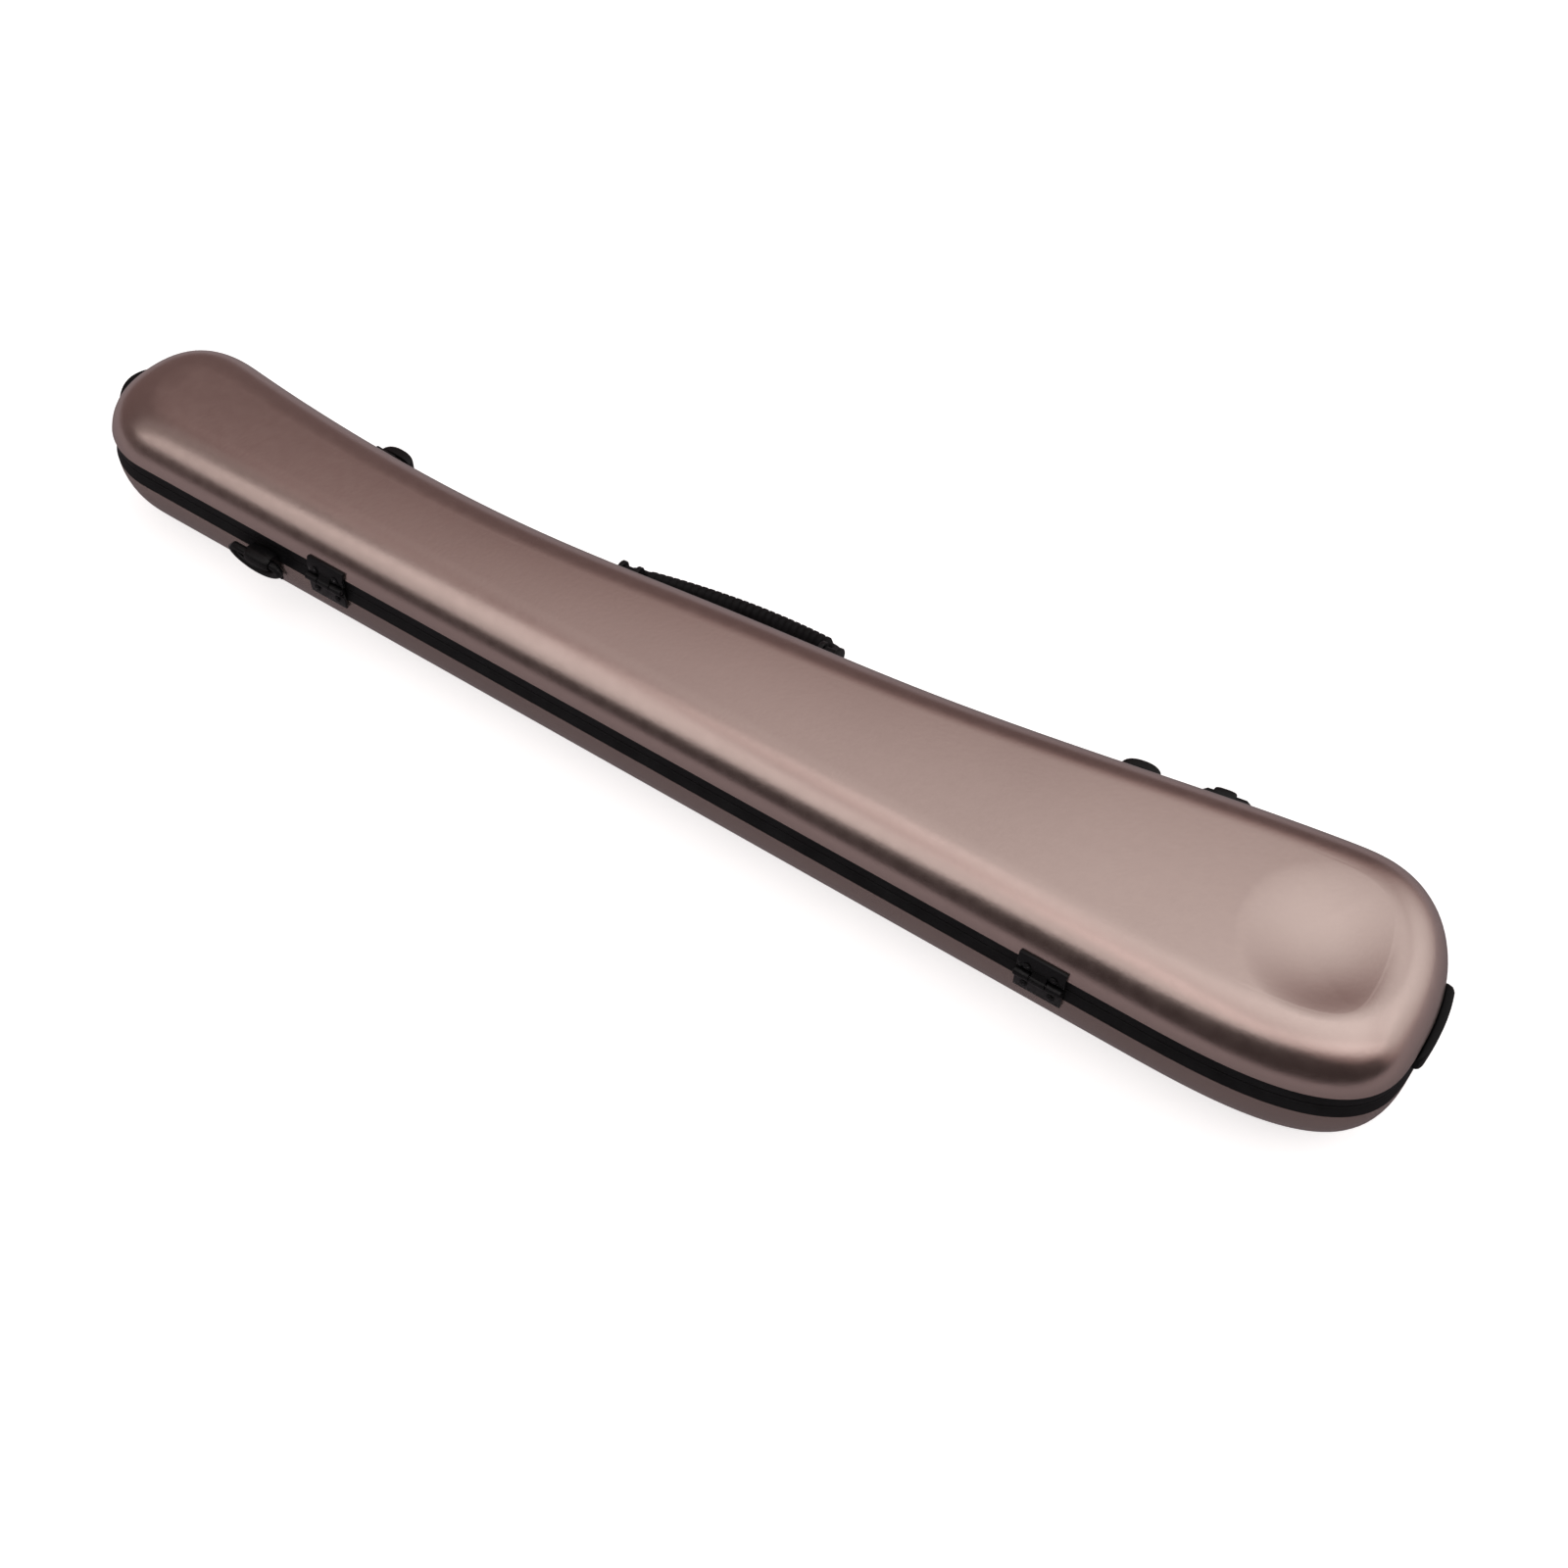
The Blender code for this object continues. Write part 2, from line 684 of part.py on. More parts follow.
def dish_cutter():
    """Round hollow sunk in the lid's flat."""
    skim = DISH_DEPTH / DISH_SIDES
    profile = []
    for step in range(1, DISH_RINGS + 1):
        share = step / DISH_RINGS
        profile.append((share * DISH_RADIUS, LID_TOP + skim - (DISH_DEPTH + skim) * dish_fall(share)))
    profile.append((DISH_RADIUS, LID_TOP + OVERRUN))
    centre = world(DISH_ALONG, CASE_WIDTH * DISH_ACROSS_SHARE, 0)
    return turned("dish_cutter", profile, DISH_SIDES, (centre.x, centre.y))


def make_linings(lid_axis):
    """Plush linings of both shells and the crowned cushion on the lid's ceiling."""
    base = cup("base_lining", hull_profile(BASE_LINING_OUTSIDE), hull_profile(BASE_LINING_INSIDE))
    finish_piece(base, "base_lining", PLUSH)
    lid = cup("lid_lining", lid_profile(SHELL_WALL + GAP), lid_profile(LID_LINING_INSIDE))
    combine(lid, [dish_boss("dish_clearance", GAP)], "DIFFERENCE")
    finish_piece(lid, "lid_lining", PLUSH, parent=lid_axis)
    ceiling = LID_TOP - LID_LINING_INSIDE - GAP
    swell = CUSHION_EDGE / 3
    profile = (
        (CUSHION_INSET + swell, ceiling),
        (CUSHION_INSET, ceiling - CUSHION_EDGE / 2),
        (CUSHION_INSET + swell, ceiling - CUSHION_EDGE),
        (CUSHION_INSET + CUSHION_SLOPE, ceiling - CUSHION_CROWN),
    )
    cushion = plug("lid_cushion", profile)
    finish_piece(cushion, "lid_cushion", FOAM_PLUSH, parent=lid_axis)


def make_bands(lid_axis):
    """Black rim bands that cap the shells' edges, and the seal between them."""
    base_foot = HULL_TOP + GAP
    base_top = PARTING_HEIGHT - GAP / 2
    seal_outside = BAND_WAIST_INSET + SEAL_WALL
    seat = base_top - SEAL_SEAT_DEPTH
    base_inside = BASE_LINING_INSIDE
    base = hoop("base_rim_band", (
        (BAND_FOOT_INSET, base_foot),
        (BAND_WAIST_INSET, base_foot + BAND_TAPER_RISE),
        (BAND_WAIST_INSET, base_top),
        (seal_outside, base_top),
        (seal_outside, seat),
        (base_inside, seat),
        (base_inside, base_foot),
    ))
    finish_piece(base, "base_rim_band", BLACK_RUBBER)
    seal = hoop("rim_seal", (
        (seal_outside + GAP, seat + GAP),
        (seal_outside + GAP, seat + SEAL_HEIGHT),
        (seal_outside + GAP + SEAL_WIDTH, seat + SEAL_HEIGHT),
        (seal_outside + GAP + SEAL_WIDTH, seat + GAP),
    ))
    finish_piece(seal, "rim_seal", BLACK_RUBBER)
    lid_foot = PARTING_HEIGHT + GAP / 2
    lid_top = LID_RIM - GAP
    lid_inside = lid_profile(LID_LINING_INSIDE)[0][0]
    roof = seat + SEAL_HEIGHT + GAP
    lid = hoop("lid_rim_band", (
        (BAND_WAIST_INSET, lid_foot),
        (BAND_LIP_INSET, lid_top),
        (lid_inside, lid_top),
        (lid_inside, roof),
        (seal_outside, roof),
        (seal_outside, lid_foot),
    ))
    finish_piece(lid, "lid_rim_band", BLACK_RUBBER, parent=lid_axis)


def slot_places(start, length, shares):
    """Places across the case of a bed's slots."""
    width = wall_across(start + length / 2)
    return [width * share for share in shares]


def foam_bed(name, start, length, places, slot_width, slot_depth):
    """Foam block that fills the base from side to side, with a slot for each bow."""
    floor = BASE_LINING_INSIDE + GAP
    block = plug(name, hull_profile(floor))
    low = world(start, -OVERRUN, -OVERRUN)
    high = world(start + length, CASE_WIDTH + OVERRUN, BED_TOP)
    combine(block, [box("slice", low, high)], "INTERSECT")
    slots = []
    for across in places:
        low = world(start - OVERRUN, across - slot_width / 2, BED_TOP - slot_depth)
        high = world(start + length + OVERRUN, across + slot_width / 2, BED_TOP + OVERRUN)
        slots.append(box("slot", low, high))
    combine(block, slots, "DIFFERENCE")
    return block


def make_beds():
    """Foam beds for the frogs, the sticks and the heads of the bows, and their turn-buttons."""
    frogs = slot_places(FROG_BED_START, FROG_BED_LENGTH, FROG_SLOT_SHARES)
    bed = foam_bed("frog_bed", FROG_BED_START, FROG_BED_LENGTH, frogs, FROG_SLOT_WIDTH, FROG_SLOT_DEPTH)
    finish_piece(bed, "frog_bed", FOAM_PLUSH)
    sticks = slot_places(SADDLE_START, SADDLE_LENGTH, SADDLE_SLOT_SHARES)
    bed = foam_bed("stick_saddle", SADDLE_START, SADDLE_LENGTH, sticks, STICK_SLOT_WIDTH, STICK_SLOT_DEPTH)
    finish_piece(bed, "stick_saddle", FOAM_PLUSH)
    heads = slot_places(HEAD_BED_START, HEAD_BED_LENGTH, HEAD_SLOT_SHARES)
    pitch = heads[1] - heads[0]
    slot_width = pitch - HEAD_LAND_WIDTH
    bed = foam_bed("head_bed", HEAD_BED_START, HEAD_BED_LENGTH, heads, slot_width, HEAD_SLOT_DEPTH)
    middle = HEAD_BED_START + HEAD_BED_LENGTH / 2
    posts = [world(middle, across + slot_width / 2 + POST_BESIDE_SLOT, BED_TOP) for across in heads]
    holes = []
    for post in posts:
        profile = (
            (POST_RADIUS + GAP, BED_TOP - POST_BURIAL - GAP),
            (POST_RADIUS + GAP, BED_TOP + OVERRUN),
        )
        holes.append(turned("post_hole", profile, SMALL_SIDES, (post.x, post.y)))
    combine(bed, holes, "DIFFERENCE")
    finish_piece(bed, "head_bed", FOAM_PLUSH)
    for index, post in enumerate(posts):
        make_turn_button(index + 1, post, pitch - BUTTON_APART)


def make_turn_button(number, post, length):
    """Post standing in the head bed, with the button that turns on it."""
    under = BUTTON_LIFT
    over = under + BUTTON_THICKNESS + GAP
    profile = (
        (POST_RADIUS, -POST_BURIAL),
        (POST_RADIUS, over),
        (POST_HEAD_RADIUS, over),
        (POST_HEAD_RADIUS, over + POST_HEAD_HEIGHT / 2),
        (POST_HEAD_RADIUS / 2, over + POST_HEAD_HEIGHT),
    )
    pin = turned("post", profile, SMALL_SIDES)
    finish_piece(pin, f"button_post_{number}", STEEL, Matrix.Translation(post))
    half = BUTTON_WIDTH / 2
    rounded = []
    steps = SMALL_SIDES // 2
    for step in range(steps + 1):
        angle = pi * step / steps
        rounded.append((half * cos(angle), half * sin(angle)))
    for step in range(steps + 1):
        angle = pi + pi * step / steps
        rounded.append((half * cos(angle), BUTTON_WIDTH - length + half * sin(angle)))
    shape = bmesh.new()
    lower = [shape.verts.new((x, y, under)) for x, y in rounded]
    upper = [shape.verts.new((x, y, under + BUTTON_THICKNESS)) for x, y in rounded]
    bridge(shape, lower, upper)
    shape.faces.new(lower)
    shape.faces.new(upper)
    button = mesh_object("button", shape)
    bore = POST_RADIUS + PIN_CLEARANCE
    cutter = turned("bore", ((bore, under - OVERRUN), (bore, over + OVERRUN)), SMALL_SIDES)
    combine(button, [cutter], "DIFFERENCE")
    finish_piece(button, f"turn_button_{number}", BLACK_PLASTIC, Matrix.Translation(post))


def make_hinge(number, along, lid_axis):
    """Hinge of two riveted leaves and a pin, on the straight side."""
    place = wall_frame(along, 0)
    half = HINGE_WIDTH / 2
    middle = MIDDLE_KNUCKLE / 2
    axis = (HINGE_AXIS_OUT, PARTING_HEIGHT)
    reach = BARREL_RADIUS + GAP
    inner = GAP - lid_inset(LID_RIM)
    bend_height = (LID_RIM + UPPER_LEAF_TOP) / 2
    knee = GAP - lid_inset(bend_height)
    tip = GAP - lid_inset(UPPER_LEAF_TOP)
    upper = prism("upper", (
        (inner, PARTING_HEIGHT + reach),
        (inner, LID_RIM),
        (knee, bend_height),
        (tip, UPPER_LEAF_TOP),
        (tip + LEAF_THICKNESS, UPPER_LEAF_TOP),
        (knee + LEAF_THICKNESS, bend_height),
        (inner + LEAF_THICKNESS, LID_RIM),
        (inner + LEAF_THICKNESS, PARTING_HEIGHT + reach),
    ), -half, half)
    web = prism("web", (
        (inner, PARTING_HEIGHT),
        (inner, PARTING_HEIGHT + BARREL_RADIUS + reach),
        (inner + LEAF_THICKNESS, PARTING_HEIGHT + BARREL_RADIUS + reach),
        (HINGE_AXIS_OUT, PARTING_HEIGHT + BARREL_RADIUS / 2),
        (HINGE_AXIS_OUT, PARTING_HEIGHT),
    ), -middle, middle)
    barrel = rod("barrel", axis, BARREL_RADIUS, -middle, middle)
    combine(upper, [web, barrel], "UNION")
    cut_pin_hole(upper, axis, PIN_RADIUS, half)
    foot = PARTING_HEIGHT - reach
    lower = prism("lower", (
        (GAP, LOWER_LEAF_FOOT),
        (GAP, foot),
        (GAP + LEAF_THICKNESS, foot),
        (GAP + LEAF_THICKNESS, LOWER_LEAF_FOOT),
    ), -half, half)
    parts = []
    for start, end in ((-half, -middle - KNUCKLE_GAP), (middle + KNUCKLE_GAP, half)):
        parts.append(prism("web", (
            (GAP, foot - BARREL_RADIUS),
            (GAP, PARTING_HEIGHT),
            (HINGE_AXIS_OUT, PARTING_HEIGHT),
            (GAP + LEAF_THICKNESS, foot - BARREL_RADIUS),
        ), start, end))
        parts.append(rod("barrel", axis, BARREL_RADIUS, start, end))
    combine(lower, parts, "UNION")
    cut_pin_hole(lower, axis, PIN_RADIUS, half)
    spots = (-HINGE_RIVET_APART / 2, HINGE_RIVET_APART / 2)
    upper_face = inner + LEAF_THICKNESS
    lower_face = GAP + LEAF_THICKNESS
    combine(upper, [rivet_hole(s, upper_face, UPPER_RIVET_HEIGHT, OVERRUN) for s in spots], "DIFFERENCE")
    combine(lower, [rivet_hole(s, lower_face, LOWER_RIVET_HEIGHT, OVERRUN) for s in spots], "DIFFERENCE")
    for side, spot in zip("ab", spots):
        rivet(f"hinge_{number}_lid_rivet_{side}", upper_face, UPPER_RIVET_HEIGHT, spot,
              LEAF_THICKNESS, place, lid_axis)
        rivet(f"hinge_{number}_base_rivet_{side}", lower_face, LOWER_RIVET_HEIGHT, spot,
              LEAF_THICKNESS, place, None)
    finish_piece(upper, f"hinge_{number}_lid_leaf", BLACK_METAL, place, lid_axis)
    finish_piece(lower, f"hinge_{number}_base_leaf", BLACK_METAL, place)
    pin = rod("pin", axis, PIN_RADIUS, -half + PIN_INSET, half - PIN_INSET)
    finish_piece(pin, f"hinge_{number}_pin", STEEL, place)


def cut_pin_hole(item, axis, radius, half):
    """Bore along the wall for a pin with its running clearance."""
    bore = rod("bore", axis, radius + PIN_CLEARANCE, -half - OVERRUN, half + OVERRUN)
    combine(item, [bore], "DIFFERENCE")


def clevis(name, plate, ears, pivot, ear_radius, half_width):
    """Plate on the wall with round-ended ears about a pivot."""
    thickness, foot, top = plate
    item = prism(name, (
        (GAP, foot),
        (GAP, top),
        (GAP + thickness, top),
        (GAP + thickness, foot),
    ), -half_width, half_width)
    parts = []
    for start, end in ears:
        parts.append(prism("ear", (
            (GAP + thickness / 2, pivot[1] - ear_radius),
            (GAP + thickness / 2, pivot[1] + ear_radius),
            (pivot[0], pivot[1] + ear_radius * cos(pi / TURN_SIDES)),
            (pivot[0], pivot[1] - ear_radius * cos(pi / TURN_SIDES)),
        ), start, end))
        parts.append(rod("ear_end", pivot, ear_radius, start, end))
    return combine(item, parts, "UNION")


def make_latch(number, along, lid_axis):
    """Flip latch: plate with ears, pin and lever on the base, keeper on the lid."""
    place = wall_frame(along, wall_across(along))
    half = LATCH_WIDTH / 2
    pivot = (LATCH_PIVOT_OUT, LATCH_PIVOT_HEIGHT)
    knuckle = half - LATCH_EAR_THICKNESS - GAP
    ears = ((-half, -half + LATCH_EAR_THICKNESS), (half - LATCH_EAR_THICKNESS, half))
    plate = clevis(
        "plate", (LATCH_PLATE_THICKNESS, LATCH_PLATE_FOOT, LATCH_PLATE_TOP), ears, pivot,
        LATCH_EAR_RADIUS, half,
    )
    cut_pin_hole(plate, pivot, PIN_RADIUS, half)
    face = GAP + LATCH_PLATE_THICKNESS
    spots = (-LATCH_RIVET_APART / 2, LATCH_RIVET_APART / 2)
    combine(plate, [rivet_hole(s, face, LATCH_RIVET_HEIGHT, OVERRUN) for s in spots], "DIFFERENCE")
    finish_piece(plate, f"latch_{number}_plate", BLACK_METAL, place)
    for side, spot in zip("ab", spots):
        rivet(f"latch_{number}_rivet_{side}", face, LATCH_RIVET_HEIGHT, spot,
              LATCH_PLATE_THICKNESS, place, None)
    pin = rod("pin", pivot, PIN_RADIUS, -half + PIN_INSET, half - PIN_INSET)
    finish_piece(pin, f"latch_{number}_pin", STEEL, place)
    make_lever(number, place, half, knuckle, pivot)
    make_keeper(number, place, lid_axis)


def make_lever(number, place, half, knuckle, pivot):
    """Hollow-backed lever whose lip stands over the keeper's nose."""
    outer = LATCH_LEVER_OUT
    inner = outer - LATCH_LEVER_WALL
    lip = KEEPER_NOSE_OUT + GAP
    under_top = LATCH_LEVER_TOP - LATCH_LEVER_WALL
    spring = pivot[1] + LATCH_EAR_RADIUS + 2 * GAP
    face = prism("face", (
        (inner, spring),
        (inner, under_top - LATCH_LEVER_ROUND),
        (inner - LATCH_LEVER_ROUND / 2, under_top),
        (lip, under_top),
        (lip, LATCH_LEVER_TOP),
        (outer - LATCH_LEVER_ROUND, LATCH_LEVER_TOP),
        (outer, LATCH_LEVER_TOP - LATCH_LEVER_ROUND),
        (outer, spring + LATCH_LEVER_WALL),
        (outer - LATCH_LEVER_WALL / 2, spring),
    ), -half, half)
    web = prism("web", (
        (pivot[0], pivot[1] + LATCH_KNUCKLE_RADIUS / 2),
        (inner, spring + LATCH_LEVER_WALL),
        (outer - LATCH_LEVER_WALL / 2, spring + LATCH_LEVER_WALL / 2),
        (outer - LATCH_LEVER_WALL, spring - LATCH_LEVER_WALL),
        (pivot[0], pivot[1] - LATCH_KNUCKLE_RADIUS / 2),
    ), -knuckle, knuckle)
    barrel = rod("barrel", pivot, LATCH_KNUCKLE_RADIUS, -knuckle, knuckle)
    combine(face, [web, barrel], "UNION")
    cut_pin_hole(face, pivot, PIN_RADIUS, half)
    on_pivot(face, *pivot)
    seat = place @ Matrix.Translation((0, pivot[0], pivot[1]))
    finish_piece(face, f"latch_{number}_lever", BLACK_PLASTIC, seat)


def make_keeper(number, place, lid_axis):
    """Keeper plate on the lid with a nose that the lever's lip stands over."""
    half = KEEPER_WIDTH / 2
    inner = GAP - lid_inset(LID_RIM)
    tip = GAP - lid_inset(KEEPER_TOP)
    face = inner + KEEPER_PLATE_THICKNESS
    nose_top = KEEPER_NOSE_FOOT + KEEPER_NOSE_THICKNESS
    keeper = prism("keeper", (
        (inner, KEEPER_NOSE_FOOT),
        (inner, LID_RIM),
        (tip, KEEPER_TOP),
        (tip + KEEPER_PLATE_THICKNESS, KEEPER_TOP),
        (face, LID_RIM),
        (face, nose_top),
        (KEEPER_NOSE_OUT, nose_top),
        (KEEPER_NOSE_OUT, KEEPER_NOSE_FOOT),
    ), -half, half)
    finish_piece(keeper, f"latch_{number}_keeper", BLACK_METAL, place, lid_axis)


def make_handle():
    """Carrying handle with ribbed grip on two brackets."""
    place = wall_frame(HANDLE_ALONG, wall_across(HANDLE_ALONG))
    pivot = (HANDLE_PIVOT_OUT, HANDLE_PIVOT_HEIGHT)
    eye_half = HANDLE_EYE_LENGTH / 2
    ear_in = eye_half + GAP
    ear_out = ear_in + BRACKET_EAR_THICKNESS
    ears = ((-ear_out, -ear_in), (ear_in, ear_out))
    for label, side in (("narrow", -1), ("wide", 1)):
        seat_along = side * HANDLE_HALF_SPAN
        back = max(wall_rise(place, seat_along - ear_out), wall_rise(place, seat_along + ear_out))
        pivot_here = (pivot[0] - back, pivot[1])
        bracket = clevis(
            "bracket", (BRACKET_PLATE_THICKNESS, BRACKET_PLATE_FOOT, BRACKET_PLATE_TOP), ears,
            pivot_here, BRACKET_EAR_RADIUS, ear_out,
        )
        cut_pin_hole(bracket, pivot_here, HANDLE_PIN_RADIUS, ear_out)
        square = place @ Matrix.Translation((seat_along, back, 0))
        finish_piece(bracket, f"handle_bracket_{label}", BLACK_PLASTIC, square)
        pin_half = ear_out - PIN_INSET
        pin = rod("pin", pivot, HANDLE_PIN_RADIUS, seat_along - pin_half, seat_along + pin_half)
        finish_piece(pin, f"handle_pin_{label}", STEEL, place)
    handle = sweep("handle", handle_sections())
    bore = HANDLE_PIN_RADIUS + PIN_CLEARANCE
    bore_half = eye_half + OVERRUN
    spots = (-HANDLE_HALF_SPAN, HANDLE_HALF_SPAN)
    eyes = [rod("eye", (0, 0), HANDLE_EYE_RADIUS, s - eye_half, s + eye_half) for s in spots]
    combine(handle, eyes, "UNION")
    bores = [rod("bore", (0, 0), bore, s - bore_half, s + bore_half) for s in spots]
    combine(handle, bores, "DIFFERENCE")
    handle.data.transform(Matrix.Rotation(-radians(HANDLE_DROOP_DEG), 4, "X"))
    seat = place @ Matrix.Translation((0, pivot[0], pivot[1]))
    finish_piece(handle, "carry_handle", BLACK_RUBBER, seat)


def grip_fall(along):
    """Share of the grip's bow at a place along it."""
    return ((along - HANDLE_BOW_SHIFT) / (HANDLE_GRIP_LENGTH / 2)) ** 2


def handle_arm(side):
    """Places of one arm, from its eye to its end of the grip."""
    grip_half = HANDLE_GRIP_LENGTH / 2
    slack = HANDLE_HALF_SPAN - grip_half
    root_reach = HANDLE_EYE_RADIUS - HANDLE_ARM_THICKNESS / 4
    bend_reach = BRACKET_EAR_RADIUS + HANDLE_EYE_CLEARANCE
    rise = HANDLE_REACH - HANDLE_BOW * grip_fall(side * grip_half) - bend_reach
    arm = (HANDLE_ARM_THICKNESS, HANDLE_ARM_THICKNESS)
    places = [(side * HANDLE_HALF_SPAN, root_reach, (0, 1), *arm)]
    for share in ARM_BEND_SHARES:
        angle = pi / 2 * share
        along = side * (HANDLE_HALF_SPAN - slack * (1 - cos(angle)))
        heading = (-side * slack * sin(angle), rise * cos(angle))
        places.append((along, bend_reach + rise * sin(angle), heading, *arm))
    return places


def handle_sections():
    """Sections of the handle from one eye to the other, in the plane of its reach."""
    places = handle_arm(-1)
    pitch = HANDLE_GRIP_LENGTH / HANDLE_RIB_COUNT
    waist = 2 * HANDLE_GROOVE_DEPTH
    for rib in range(HANDLE_RIB_COUNT):
        start = -HANDLE_GRIP_LENGTH / 2 + rib * pitch
        for shift, slimmer in (
            (HANDLE_GROOVE_WIDTH / 4, waist),
            (HANDLE_GROOVE_WIDTH / 2, 0),
            (pitch - HANDLE_GROOVE_WIDTH / 2, 0),
            (pitch - HANDLE_GROOVE_WIDTH / 4, waist),
        ):
            along = start + shift
            fall = grip_fall(along)
            height = HANDLE_GRIP_HEIGHT - HANDLE_GRIP_TAPER * fall - slimmer
            reach = HANDLE_REACH - HANDLE_BOW * fall
            places.append((along, reach, (1, 0), HANDLE_GRIP_THICKNESS - slimmer, height))
    for along, reach, heading, thickness, height in reversed(handle_arm(1)):
        places.append((along, reach, (-heading[0], -heading[1]), thickness, height))
    sections = []
    for along, reach, heading, thickness, height in places:
        ahead = Vector((heading[0], heading[1], 0)).normalized()
        sideways = Vector((-ahead.y, ahead.x, 0))
        centre = Vector((along, reach, 0))
        section = []
        for step in range(SMALL_SIDES):
            angle = 2 * pi * (step + 0.5) / SMALL_SIDES
            out = thickness / 2 * np.sign(cos(angle)) * abs(cos(angle)) ** GRIP_SQUARE_SHARE
            up = height / 2 * np.sign(sin(angle)) * abs(sin(angle)) ** GRIP_SQUARE_SHARE
            section.append(centre + sideways * out + Vector((0, 0, up)))
        sections.append(section)
    return sections


def make_strap_ring(label, along, across, lift, droop_deg, slide):
    """Folded tab on the wall with the strap ring that swings in it."""
    place = wall_frame(along, across) @ Matrix.Translation((0, 0, lift))
    half = TAB_WIDTH / 2
    centre = (TAB_BARREL_OUT, TAB_BARREL_HEIGHT)
    bore = RING_BAR_RADIUS + TAB_RING_CLEARANCE
    outer = bore + TAB_BARREL_WALL
    face = GAP + TAB_PLATE_THICKNESS
    tab = prism("tab", (
        (GAP, TAB_PLATE_FOOT),
        (GAP, TAB_PLATE_TOP),
        (TAB_BARREL_OUT, TAB_BARREL_HEIGHT + outer * cos(pi / TURN_SIDES)),
        (TAB_BARREL_OUT, TAB_BARREL_HEIGHT - outer * cos(pi / TURN_SIDES)),
        (face, TAB_BARREL_HEIGHT - outer),
        (face, TAB_PLATE_FOOT),
    ), -half, half)
    combine(tab, [rod("barrel", centre, outer, -half, half)], "UNION")
    cutters = [
        rod("bore", centre, bore, -half - OVERRUN, half + OVERRUN),
        rivet_hole(0, face, TAB_RIVET_HEIGHT, OVERRUN),
    ]
    combine(tab, cutters, "DIFFERENCE")
    finish_piece(tab, f"strap_tab_{label}", BLACK_PLASTIC, place)
    rivet(f"strap_tab_rivet_{label}", face, TAB_RIVET_HEIGHT, 0, TAB_PLATE_THICKNESS, place, None)
    ring = sweep("ring", ring_sections(slide), closed=True)
    ring.data.transform(Matrix.Rotation(-radians(droop_deg), 4, "X"))
    seat = place @ Matrix.Translation((0, centre[0], centre[1]))
    finish_piece(ring, f"strap_ring_{label}", BLACK_METAL, seat)


def ring_sections(slide):
    """Sections round a ring with one straight bar and one bowed side, slid along its bar."""
    corner = RING_BAR_RADIUS * 2
    bar_half = RING_HALF_SPAN - corner / 2
    spine = [Vector((slide - bar_half, 0, 0)), Vector((slide + bar_half, 0, 0))]
    for step in range(RING_BOW_STEPS + 1):
        angle = pi * step / RING_BOW_STEPS
        along = slide + RING_HALF_SPAN * cos(angle)
        reach = corner / 2 + (RING_REACH - corner / 2) * max(sin(angle), 0) ** RING_BOW_POWER
        spine.append(Vector((along, reach, 0)))
    sections = []
    count = len(spine)
    for index, place in enumerate(spine):
        ahead = (place - spine[index - 1]).normalized() + (spine[(index + 1) % count] - place).normalized()
        sideways = ahead.normalized().cross(Vector((0, 0, 1)))
        section = []
        for step in range(SMALL_SIDES):
            angle = 2 * pi * step / SMALL_SIDES
            out = RING_BAR_RADIUS * cos(angle)
            up = RING_BAR_RADIUS * sin(angle)
            section.append(place + sideways * out + Vector((0, 0, up)))
        sections.append(section)
    return sections


def end_strap(name, across, along, sizes):
    """Moulded strap that bows off an end wall between two feet."""
    length, rise, height, thickness, foot, middle = sizes
    place = wall_frame(along, across)
    half = length / 2
    steps = ROUND_STEPS * 2
    outer = []
    inner = []
    for step in range(steps + 1):
        share = step / steps
        beside = -half + length * share
        wall = wall_rise(place, beside)
        arch = sin(pi * share)
        on_foot = min(beside + half, half - beside) < foot
        seat = wall + GAP
        lift = seat if on_foot else seat + max(rise * arch - thickness / 2, 0)
        outer.append((beside, seat + thickness + rise * arch))
        inner.append((beside, lift))
    shape = bmesh.new()
    border = outer + inner[::-1]
    lower = [shape.verts.new((x, y, middle - height / 2)) for x, y in border]
    upper = [shape.verts.new((x, y, middle + height / 2)) for x, y in border]
    bridge(shape, lower, upper)
    for level in (lower, upper):
        for index in range(steps):
            opposite = len(border) - 1 - index
            shape.faces.new((level[index], level[index + 1], level[opposite - 1], level[opposite]))
    item = mesh_object(name, shape)
    finish_piece(item, name, BLACK_RUBBER, place)


def make_end_straps():
    """Grip on the wide end and small loop on the narrow end."""
    end_strap("wide_end_grip", END_GRIP_ACROSS, CASE_LENGTH, (
        END_GRIP_LENGTH, END_GRIP_RISE, END_GRIP_HEIGHT, END_GRIP_THICKNESS, END_GRIP_FOOT, END_GRIP_MIDDLE,
    ))
    end_strap("narrow_end_loop", END_LOOP_ACROSS, 0, (
        END_LOOP_LENGTH, END_LOOP_RISE, END_LOOP_HEIGHT, END_LOOP_THICKNESS, END_LOOP_FOOT, END_LOOP_MIDDLE,
    ))


